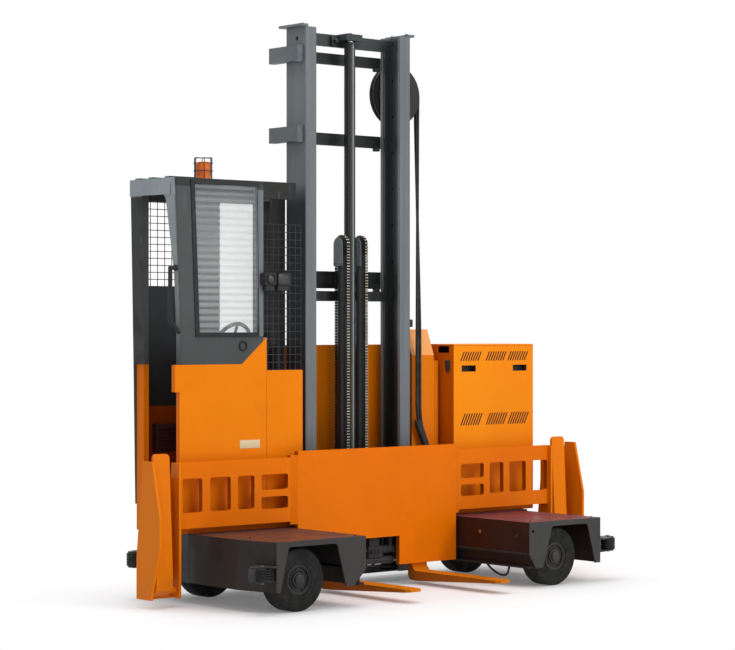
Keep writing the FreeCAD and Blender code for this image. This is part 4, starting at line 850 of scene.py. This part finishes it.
def mast_bolts():
    """Bolts on the rails' head plates and through the ends of the cross bars."""
    bolts = []
    for x in (-0.395, 0.395):
        bolts += on_face([(x, y, 3.231) for y in (0.300, 0.430)], (0, 0, 1))
    for z in BAR_BOLTS_Z:
        bolts += on_face([(x, 0.465, z) for x in (-0.36, 0.36)], (0, 1, 0))
    repeated("mast_bolts", BOLT, bolts, "bolt_steel", "reach_carriage", 0.8)


def crosshead_fittings():
    """Lugs, pin and nut on the crosshead that the lift rod pushes."""
    head = Piece("crosshead_fittings", "fitting_black", "inner_mast_stage")
    head.block((-0.105, 0.385, 3.140), (-0.063, 0.402, 3.196))
    head.rod((-0.084, 0.360, 3.168), (-0.084, 0.404, 3.168), 0.013, 16)
    head.block((0.063, 0.385, 3.150), (0.100, 0.402, 3.190))
    head.rod((0.0, 0.352, 3.186), (0.0, 0.352, 3.214), 0.017, 6)
    head.done()


def mast_welds():
    """Weld beads where the cross bars meet the rails."""
    beads = Piece("mast_welds", "mast_grey", "reach_carriage")
    y, inset = MAST_BACK_Y + 0.001, 0.004
    for z0, z1 in CROSS_BARS:
        for x in (-0.318, 0.318):
            beads.rod((x, y, z0 + inset), (x, y, z1 - inset), 0.0035, 8, 0.0)
    beads.done()


mast_fittings()
cylinder_collars()
mast_bolts()
crosshead_fittings()
mast_welds()


def rounded_path(points, radius, steps=8):
    """A path through corner points with each corner rounded by a curve."""
    out = [Vector(points[0])]
    for before, corner, after in zip(points, points[1:], points[2:]):
        before, corner, after = Vector(before), Vector(corner), Vector(after)
        a = corner + (before - corner).normalized() * min(radius, (before - corner).length / 2)
        b = corner + (after - corner).normalized() * min(radius, (after - corner).length / 2)
        for i in range(steps + 1):
            t = i / steps
            out.append(a * (1 - t) ** 2 + corner * (2 * t * (1 - t)) + b * t ** 2)
    return out + [Vector(points[-1])]


PULLEY_X, PULLEY_Z = 0.478, 2.891       # axis of the hose pulley
HOSE_TURN = 0.178                       # radius at which the hoses go round it
HOSE_WRAP = 244                         # degrees of the pulley that they touch
HOSE_RADIUS = 0.0090
HOSE_FOOT_Y = 0.290


def hose_details():
    """Both hoses: up behind the right rail, round the pulley, down and into their sleeve."""
    for label, y, low_x in (("front", 0.487, 0.471), ("rear", 0.513, 0.495)):
        path = [Vector((0.402, y, 2.600)), Vector((0.402, y, 2.690))]
        for i in range(31):
            a = math.radians(HOSE_WRAP * (1 - i / 30))
            path.append(Vector((PULLEY_X + HOSE_TURN * math.cos(a), y, PULLEY_Z + HOSE_TURN * math.sin(a))))
        right = PULLEY_X + HOSE_TURN
        down = [(right, y, 2.880), (right - 0.002, y, 2.780), (low_x, HOSE_FOOT_Y, 1.500),
                (low_x, HOSE_FOOT_Y, 0.930), (low_x + 0.070, HOSE_FOOT_Y, 0.780),
                (low_x + 0.046, HOSE_FOOT_Y, 0.215)]
        path += rounded_path(down, 0.12)
        hose = Piece("mast_hose_" + label, "hose_black", "reach_carriage")
        hose.tube(path, HOSE_RADIUS, 12)
        hose.done(("mast_hoses", "hose_sheath") if label == "front" else ())
    sleeve = Piece("hose_sleeve", "fitting_black", "reach_carriage")
    path = [(0.483, 0.945), (0.485, 0.920), (0.541, 0.795), (0.545, 0.760)]
    for dx in (-0.0105, 0.0, 0.0105):
        sleeve.tube(rounded_path([(x + dx, HOSE_FOOT_Y, z) for x, z in path], 0.02), 0.0150, 14)
    sleeve.block((0.498, 0.2745, 0.195), (0.560, 0.3060, 0.238), 0.004)
    sleeve.done()


hose_details()


# ---- cab ----

def window_trim():
    """Gasket round the front window, the grey post at its inner side and the lock below it."""
    pane = [(-1.203, 1.471), (-0.794, 1.471), (-0.807, 2.280), (-1.237, 2.280)]
    around = [(-1.230, 1.447), (-0.790, 1.447), (-0.800, 2.304), (-1.264, 2.304)]
    gasket = Piece("window_gasket", "trim_black")
    for i in (0, 2, 3):
        j = (i + 1) % 4
        strip = (pane[i], pane[j], around[j], around[i])
        gasket.outline([(x, CAB_FACE_Y + 0.004, z) for x, z in strip], (0, -0.009, 0), 0.002)
    gasket.done()
    post = Piece("window_post_trim", "mast_grey")
    strip = ((-0.794, 1.449), (-0.767, 1.449), (-0.767, 2.262), (-0.806, 2.262))
    post.outline([(x, CAB_FACE_Y + 0.003, z) for x, z in strip], (0, -0.009, 0), 0.003)
    post.done()
    lock = Piece("panel_lock", "trim_black")
    lock.lathe([(0.019, 0.001), (0.020, -0.006), (0.025, -0.008), (0.029, -0.005), (0.030, 0.001)],
               (-0.905, CAB_FACE_Y, 1.396), (0, 1, 0), 32)
    lock.done()


def panel_marks():
    """Seams of the cab's lower panels, and the blank plate on them."""
    inside = CAB_FACE_Y + 0.001
    seam = Piece("panel_seams", "seam_orange")
    seam.block((-0.7400, CAB_FACE_Y - 0.0010, 0.384), (-0.7372, inside, 1.300), 0.0004)
    seam.block((-1.366, CAB_FACE_Y - 0.0006, 1.146), (-1.330, inside, 1.1485), 0.0003)
    seam.done()
    plate = Piece("blank_plate", "plate_blank")
    plate.block((-0.928, CAB_FACE_Y - 0.0015, 0.829), (-0.788, CAB_FACE_Y + 0.0005, 0.875), 0.0006)
    plate.done()


def cab_lining():
    """Ribbed lining on the cab's rear wall."""
    lining = Piece("rear_lining", "lining_grey")
    wall = 0.5748
    for x0, x1, z0, z1 in ((-1.046, -0.784, 1.075, 2.262), (-0.784, -0.506, 2.220, 2.262)):
        outline = [(x0, wall, z0)]
        z = z0
        while z < z1 - 0.001:
            step = min(LINING_PITCH, z1 - z)
            outline += [(x0, wall - 0.002, z + 0.001), (x0, wall - 0.010, z + step * 0.4),
                        (x0, wall - 0.011, z + step * 0.7), (x0, wall - 0.002, z + step - 0.001)]
            z += step
        outline.append((x0, wall, z1))
        lining.outline(outline, (x1 - x0, 0, 0), 0.0)
    lining.done()


def rear_windows():
    """Wire guard over one rear window and the frame of the other."""
    guard = Piece("rear_guard_wires", "fitting_black")
    x0, x1, z0, z1 = -1.297, -1.050, 1.725, 2.199
    wire, uprights, rows = 0.0022, 5, 12
    for i in range(uprights + 1):
        x = x0 + 0.0025 + (x1 - x0 - 0.005) * i / uprights
        guard.rod((x, 0.5925, z0), (x, 0.5925, z1), wire, 8, 0.0)
    for i in range(rows + 1):
        z = z0 + 0.0025 + (z1 - z0 - 0.005) * i / rows
        guard.rod((x0, 0.5965, z), (x1, 0.5965, z), wire, 8, 0.0)
    guard.done(("rear_mesh",))
    bars = Piece("rear_window_frame", "trim_black")
    x0, x1, z0, z1 = -0.780, -0.508, 1.460, 2.218
    for a, b in (((x0 - 0.006, z0 - 0.012), (x1 + 0.004, z0 + 0.010)),
                 ((x0 - 0.006, z1 - 0.010), (x1 + 0.004, z1 + 0.002)),
                 ((x0 - 0.006, z0), (x0 + 0.008, z1)), ((x1 - 0.008, z0), (x1 + 0.004, z1))):
        bars.block((a[0], 0.6045, a[1]), (b[0], 0.6100, b[1]), 0.0015)
    bars.done()


def lamp_parts():
    """Round and square lamp glasses with their rims and feet."""
    centre = (-0.7485, 0.140, 1.7685)
    lamp = Piece("lamp_glass", "lamp_glass")
    lamp.lathe([(0.0005, -0.007), (0.016, -0.006), (0.022, -0.003), (0.023, 0.001), (0.0005, 0.001)],
               centre, (0, 1, 0), 28)
    lamp.block((-0.697, 0.1375, 1.742), (-0.616, 0.1405, 1.796), 0.001)
    lamp.done()
    rims = Piece("lamp_rims", "fitting_black")
    rims.lathe([(0.022, -0.004), (0.024, -0.009), (0.029, -0.009), (0.031, 0.001), (0.022, 0.001)],
               centre, (0, 1, 0), 28)
    for a, b in (((-0.703, 1.735), (-0.696, 1.802)), ((-0.617, 1.735), (-0.610, 1.802)),
                 ((-0.703, 1.735), (-0.610, 1.743)), ((-0.703, 1.795), (-0.610, 1.802))):
        rims.block((a[0], 0.1335, a[1]), (b[0], 0.1405, b[1]), 0.0015)
    for x in (-0.735, -0.650):
        rims.rod((x, 0.165, 1.690), (x, 0.165, 1.706), 0.009, 12)
    rims.done()


def vent_ribs():
    """Six ribs across the vented box."""
    vents = Piece("vent_ribs", "vent_brown")
    low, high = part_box("vent_box")
    inset = 0.012
    for i in range(6):
        z = low[2] + 0.018 + i * 0.022
        vents.block((low[0] + inset, low[1] - 0.004, z), (high[0] - inset, low[1] + 0.001, z + 0.009), 0.001)
    vents.done()


def handle_feet():
    """The collar at the head of the grab handle."""
    feet = Piece("grab_handle_feet", "trim_black")
    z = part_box("grab_handle")[1][2] - 0.012
    feet.rod((-1.356, 0.208, z), (-1.344, 0.208, z), 0.017, 20, 0.002)
    feet.done()


def beacon_ribs():
    """Fine rings moulded in the beacon's lens."""
    ribs = Piece("beacon_ribs", "lens_amber")
    low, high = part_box("beacon")
    middle = ((low[0] + high[0]) / 2, (low[1] + high[1]) / 2, 0)
    wall, crest = 0.0388, 0.0402
    profile = []
    z = low[2] + 0.018
    while z < high[2] - 0.014:
        profile += [(wall, z), (crest, z + 0.0025), (wall, z + 0.005)]
        z += 0.006
    profile += [(0.0380, z), (0.0380, low[2] + 0.018)]
    ribs.lathe(profile, middle, (0, 0, 1), 40)
    ribs.done()


def console_parts():
    """Armrest, switch box, hand lever and the steering wheel's hub cap."""
    console = Piece("console_parts", "trim_black")
    console.block((-1.165, 0.240, 1.288), (-1.010, 0.312, 1.312), 0.004)
    console.block((-0.985, 0.236, 1.288), (-0.935, 0.300, 1.325), 0.004)
    console.rod((-1.120, 0.300, 1.300), (-1.120, 0.312, 1.372), 0.007, 12)
    console.rod((-1.120, 0.312, 1.368), (-1.120, 0.318, 1.402), 0.014, 16, 0.004)
    console.lathe([(0.0005, -0.012), (0.020, -0.010), (0.027, -0.004), (0.027, 0.006), (0.0005, 0.010)],
                  (-0.866, 0.340, 1.416), (0, 0.906, 0.423), 28)
    console.done()


window_trim()
panel_marks()
cab_lining()
rear_windows()
lamp_parts()
vent_ribs()
handle_feet()
beacon_ribs()
console_parts()


# ---- seat ----

def cushion(name, low, high, channels, way):
    """A crowned foam pad whose sides pull in, with sewn channels across its face."""
    low, high = Vector(low), Vector(high)
    middle, half = (low + high) / 2, (high - low) / 2
    wide, tall = [i for i in range(3) if i != way]
    count = 26
    pull_in, channel_depth, channel_width = 0.035, 0.16, 0.035
    part = bmesh.new()
    grid = {}
    steps = range(count + 1)
    for side in (1, -1):
        for i in steps:
            for j in steps:
                if side < 0 and (i in (0, count) or j in (0, count)):
                    grid[side, i, j] = grid[1, i, j]
                    continue
                u, v = 2 * i / count - 1, 2 * j / count - 1
                waist = (1 - abs(u) ** 4) * abs(v) ** 6 + (1 - abs(v) ** 4) * abs(u) ** 6
                pull = 1.0 - pull_in * waist
                crown = (1 - abs(u) ** 5) ** 0.5 * (1 - abs(v) ** 5) ** 0.5
                groove = sum(math.exp(-((u - (2 * k / channels - 1)) / channel_width) ** 2)
                             for k in range(1, channels))
                height = crown * (1.0 - channel_depth * min(groove, 1.0) * (side > 0))
                co = [0, 0, 0]
                co[wide] = middle[wide] + half[wide] * u * pull
                co[tall] = middle[tall] + half[tall] * v * pull
                co[way] = middle[way] + half[way] * side * height
                grid[side, i, j] = part.verts.new(co)
    for side in (-1, 1):
        for i in range(count):
            for j in range(count):
                ring = [grid[side, i, j], grid[side, i + 1, j], grid[side, i + 1, j + 1], grid[side, i, j + 1]]
                part.faces.new(ring if side > 0 else ring[::-1])
    piece = Piece(name, "seat_black")
    piece.absorb(part)
    return piece.done()


def seat():
    """Post, foot and pans of the seat, then its two pads."""
    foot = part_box("cab_seat")[0][2]
    stand = Piece("seat_stand", "fitting_black")
    stand.block((-0.665, 0.362, foot), (-0.615, 0.412, 0.985), 0.004)
    stand.block((-0.680, 0.350, foot), (-0.600, 0.430, foot + 0.012), 0.003)
    stand.block((-0.740, 0.300, 0.984), (-0.575, 0.480, 1.000), 0.004)
    stand.block((-0.575, 0.300, 0.984), (-0.562, 0.380, 1.400), 0.004)
    stand.done(("cab_seat",))
    pad = cushion("seat_cushion", (-0.760, 0.282, 0.998), (-0.575, 0.498, 1.070), 3, 2)
    back = cushion("seat_back", (-0.598, 0.282, 1.080), (-0.575, 0.394, 1.418), 1, 0)
    for soft in (pad, back):
        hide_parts("cab_seat")


seat()


# ---- chassis, hoods and rollers ----

# Centre and radius of each guide roller
GUIDE_ROLLERS = {
    "front_left": (-1.2953, -0.4853, 0.214, 0.046), "front_right": (1.330, -0.450, 0.214, 0.042),
    "rear_left": (-1.410, 0.515, 0.226, 0.040), "rear_right": (1.410, 0.515, 0.226, 0.040),
}
ROLLER_RIBS = 5
ROLLER_HALF = 0.0425                    # half the height of a roller


def roller_details():
    """Ribbed tread and pin head of each guide roller."""
    for name, (x, y, z, radius) in GUIDE_ROLLERS.items():
        inner, outer = radius - 0.001, radius + 0.0018
        tread = Piece("roller_tread_" + name, "tyre_black")
        for i in range(ROLLER_RIBS):
            at = z - 0.026 + i * 0.013
            tread.lathe([(inner, at - 0.005), (outer, at - 0.003), (outer, at + 0.003), (inner, at + 0.005)],
                        (x, y, 0), (0, 0, 1), 36)
        tread.done()
        pin = Piece("roller_pin_" + name, "bolt_steel")
        for way in (1, -1):
            end = z + way * ROLLER_HALF
            pin.rod((x, y, end - way * 0.001), (x, y, end + way * 0.006), 0.013, 6, 0.0015)
        pin.done()


ARM_INNER_X = 0.615                     # inner web of each arm, on both sides of the lane
DECK_TOP_Z = 0.380
BATTERY_FACE_Y = 0.225


def arm_bolts():
    """Bolts on the arms' inner webs: one bright pair, and dark ones at both ends."""
    def on_webs(places):
        return (on_face([(ARM_INNER_X, y, z) for y, z in places], (-1, 0, 0))
                + on_face([(-ARM_INNER_X, y, z) for y, z in places], (1, 0, 0)))
    repeated("web_bolts", BOLT, on_webs([(-0.104, 0.302)]), "brass_bolt", "chassis", 0.85)
    dark = on_webs([(-0.414, 0.297), (0.120, 0.297)])
    repeated("arm_bolts", BOLT, dark, "fitting_black", "chassis", 0.85)


def rail_parts():
    """Hose that hangs under the right rail, and the weld under both rails."""
    loop = Piece("rail_hose_loop", "hose_black")
    loop.tube(rounded_path([(0.640, -0.120, 0.128), (0.634, -0.190, 0.082), (0.632, -0.270, 0.056),
                            (0.634, -0.318, 0.066), (0.640, -0.330, 0.140)], 0.05), 0.0065, 10)
    loop.done()
    seam = Piece("rail_welds", "fitting_black")
    for sign in (-1, 1):
        x = sign * (ARM_INNER_X - 0.001)
        seam.rod((x, -0.495, 0.2005), (x, 0.180, 0.2005), 0.0035, 8, 0.0)
    seam.done()


def louvre_parts():
    """Dark pieces at each louvre slot and a dark sheet behind each group: painted shade inside the slots."""
    # Painted shade where each slot opens.
    edges = Piece("louvre_edges", "slot_dark")
    y, width, step, count = BATTERY_FACE_Y - 0.0006, 0.0092, 0.020, 8
    for z0, z1 in ((1.296, 1.351), (0.907, 0.978)):
        lean = (z1 - z0) / 2
        for start in (0.763, 0.972, 1.155):
            for i in range(count):
                a = start + i * step - 0.0006
                b = a + width
                edges.outline([(a, y, z0), (b, y, z0), (b + lean, y, z1), (a + lean, y, z1)],
                              (0, 0.001, 0), 0.0)
    edges.done()
    # Painted shade: a dark sheet behind each group of slots.
    backing = Piece("louvre_backing", "vent_brown")
    for z0, z1 in ((1.288, 1.359), (0.899, 0.986)):
        for x0, x1 in ((0.755, 0.958), (0.964, 1.150), (1.147, 1.352)):
            backing.block((x0, 0.2295, z0), (x1, 0.2325, z1), 0.0005)
    backing.done()


def deck_bolts():
    """Countersunk heads round the edges of both decks."""
    places = ((1.165, -0.475), (1.165, -0.300), (0.660, -0.475), (-0.660, -0.475),
              (-0.660, -0.300), (-1.180, -0.230))
    repeated("deck_bolts", BOLT, on_face([(x, y, DECK_TOP_Z) for x, y in places], (0, 0, 1)),
             "fitting_black", "chassis", 0.6)


def battery_parts():
    """The latch on the battery box's side and the lip of its lid."""
    latch = Piece("battery_latch", "fitting_black")
    latch.block((0.700, 0.258, 1.240), (0.709, 0.292, 1.300), 0.002)
    latch.outline([(0.701, 0.262, 1.296), (0.701, 0.288, 1.296), (0.701, 0.276, 1.232), (0.701, 0.262, 1.225)],
                  (-0.008, 0, 0))
    latch.done()
    lids = Piece("battery_lid_edges", "seam_orange")
    lids.block((0.7075, BATTERY_FACE_Y - 0.0008, 1.3868), (1.3745, BATTERY_FACE_Y + 0.0006, 1.3884), 0.0004)
    lids.done()


roller_details()
arm_bolts()
rail_parts()
louvre_parts()
deck_bolts()
battery_parts()


# ---- fork carriage ----

def carriage_details():
    """Valves and cylinders in the plate's notch, and the caps of the tines' pins."""
    fittings = Piece("carriage_fittings", "fitting_black", "fork_frame")
    for x in (-0.030, -0.005, 0.020):
        fittings.rod((x, 0.104, 0.205), (x, 0.120, 0.205), 0.0105, 6)
    bore, rim, wide = 0.021, 0.026, 0.016
    upper, lower = (0, 0.154, 0.212), (0, 0.154, 0.152)
    for centre, places in ((upper, (0.060, 0.100, 0.190)), (lower, (-0.075, 0.000, 0.120))):
        for x in places:
            fittings.lathe([(bore, x), (rim, x + 0.003), (rim, x + wide - 0.003), (bore, x + wide)],
                           centre, (1, 0, 0), 28)
    fittings.done()
    rods = Piece("carriage_rods", "rod_chrome", "fork_frame")
    rods.rod((-0.140, *upper[1:]), (0.052, *upper[1:]), 0.011, 20)
    rods.rod((0.148, *lower[1:]), (0.235, *lower[1:]), 0.011, 20)
    rods.done()
    caps = Piece("pivot_caps", "bolt_steel", "fork_frame")
    for x, way in ((-1.405, 1), (1.385, -1)):
        caps.rod((x - way * 0.0145, 0.120, 0.095), (x - way * 0.0005, 0.120, 0.095), 0.0165, 24)
    caps.done()


carriage_details()
for unit in (BOLT, LINK, PIN):
    bpy.data.objects.remove(unit)


# ---- stage ----

def camera_or_gloss(nodes, links):
    """1 for camera, glossy and transmission rays."""
    path = nodes.new("ShaderNodeLightPath")
    value = path.outputs["Is Camera Ray"]
    for kind in ("Is Glossy Ray", "Is Transmission Ray"):
        either = nodes.new("ShaderNodeMath")
        either.operation = "MAXIMUM"
        links.new(value, either.inputs[0])
        links.new(path.outputs[kind], either.inputs[1])
        value = either.outputs[0]
    return value


def make_world():
    """Soft light all round, and white where the camera sees past the floor."""
    world = bpy.data.worlds.new("studio_world")
    scene.world = world
    world.use_nodes = True
    nodes, links = world.node_tree.nodes, world.node_tree.links
    nodes.clear()
    out = nodes.new("ShaderNodeOutputWorld")
    soft = nodes.new("ShaderNodeBackground")
    soft.inputs["Color"].default_value = (0.95, 0.97, 1.0, 1.0)
    soft.inputs["Strength"].default_value = 0.55
    white = nodes.new("ShaderNodeBackground")
    white.inputs["Color"].default_value = (1, 1, 1, 1)
    mix = nodes.new("ShaderNodeMixShader")
    links.new(camera_or_gloss(nodes, links), mix.inputs[0])
    links.new(soft.outputs[0], mix.inputs[1])
    links.new(white.outputs[0], mix.inputs[2])
    links.new(mix.outputs[0], out.inputs["Surface"])


def make_floor():
    """A pale floor that keeps the shadow near the machine and fades to white further out."""
    size = 60.0
    footprint = (1.35, 0.50, 0.0)           # half the length and depth that stay in shadow
    mesh = bpy.data.meshes.new("studio_floor")
    mesh.from_pydata([(-size, -size, 0), (size, -size, 0), (size, size, 0), (-size, size, 0)],
                     [], [(0, 1, 2, 3)])
    floor = bpy.data.objects.new("studio_floor", mesh)
    bpy.context.collection.objects.link(floor)
    f = Finish("studio_floor", (238.6, 238.6, 238.6), 0.7)
    f.over(f.noise(2.0, 3.0), (241.0, 241.0, 241.0), 0.5)
    f.done()
    nodes, links = f.tree.nodes, f.tree.links
    out = f.place
    for step in ("ABSOLUTE", "SUBTRACT", "MAXIMUM", "LENGTH"):
        math_node = f.node("ShaderNodeVectorMath", operation=step)
        f.link(out, math_node.inputs[0])
        if step == "SUBTRACT":
            math_node.inputs[1].default_value = footprint
        out = math_node.outputs["Value" if step == "LENGTH" else "Vector"]
    far = f.ramp(out, -0.3, 1.0)
    mask = f.times(far, camera_or_gloss(nodes, links))
    white = f.node("ShaderNodeEmission")
    mix = f.node("ShaderNodeMixShader")
    f.link(mask, mix.inputs[0])
    f.link(f.shader.outputs[0], mix.inputs[1])
    f.link(white.outputs[0], mix.inputs[2])
    f.link(mix.outputs[0], nodes["Material Output"].inputs["Surface"])
    mesh.materials.append(f.material)


def area_light(name, place, target, size, power):
    """A square soft box that faces its target."""
    data = bpy.data.lights.new(name, "AREA")
    data.shape = "SQUARE"
    data.size = size
    data.energy = power
    lamp = bpy.data.objects.new(name, data)
    bpy.context.collection.objects.link(lamp)
    lamp.location = place
    lamp.rotation_euler = (Vector(target) - Vector(place)).to_track_quat("-Z", "Y").to_euler()


def make_camera():
    """A level camera off the cab's front corner."""
    data = bpy.data.cameras.new("camera")
    data.sensor_width = 36.0
    data.lens = 112.16
    data.clip_end = 200.0
    cam = bpy.data.objects.new("camera", data)
    bpy.context.collection.objects.link(cam)
    cam.location = (-8.603, -9.881, 1.512)
    cam.rotation_euler = (math.radians(90), 0, -math.radians(40.5))
    scene.camera = cam


make_world()
make_floor()
area_light("key", (3.0, -10.0, 7.0), (0, 0, 1.2), 6.0, 560)
area_light("fill", (-9.0, -3.0, 5.0), (0, 0, 1.2), 6.0, 70)
area_light("top", (-1.0, 0.0, 9.0), (0, 0, 1.2), 7.0, 420)
area_light("back", (2.0, 8.0, 7.0), (0, 0, 1.5), 6.0, 200)
make_camera()
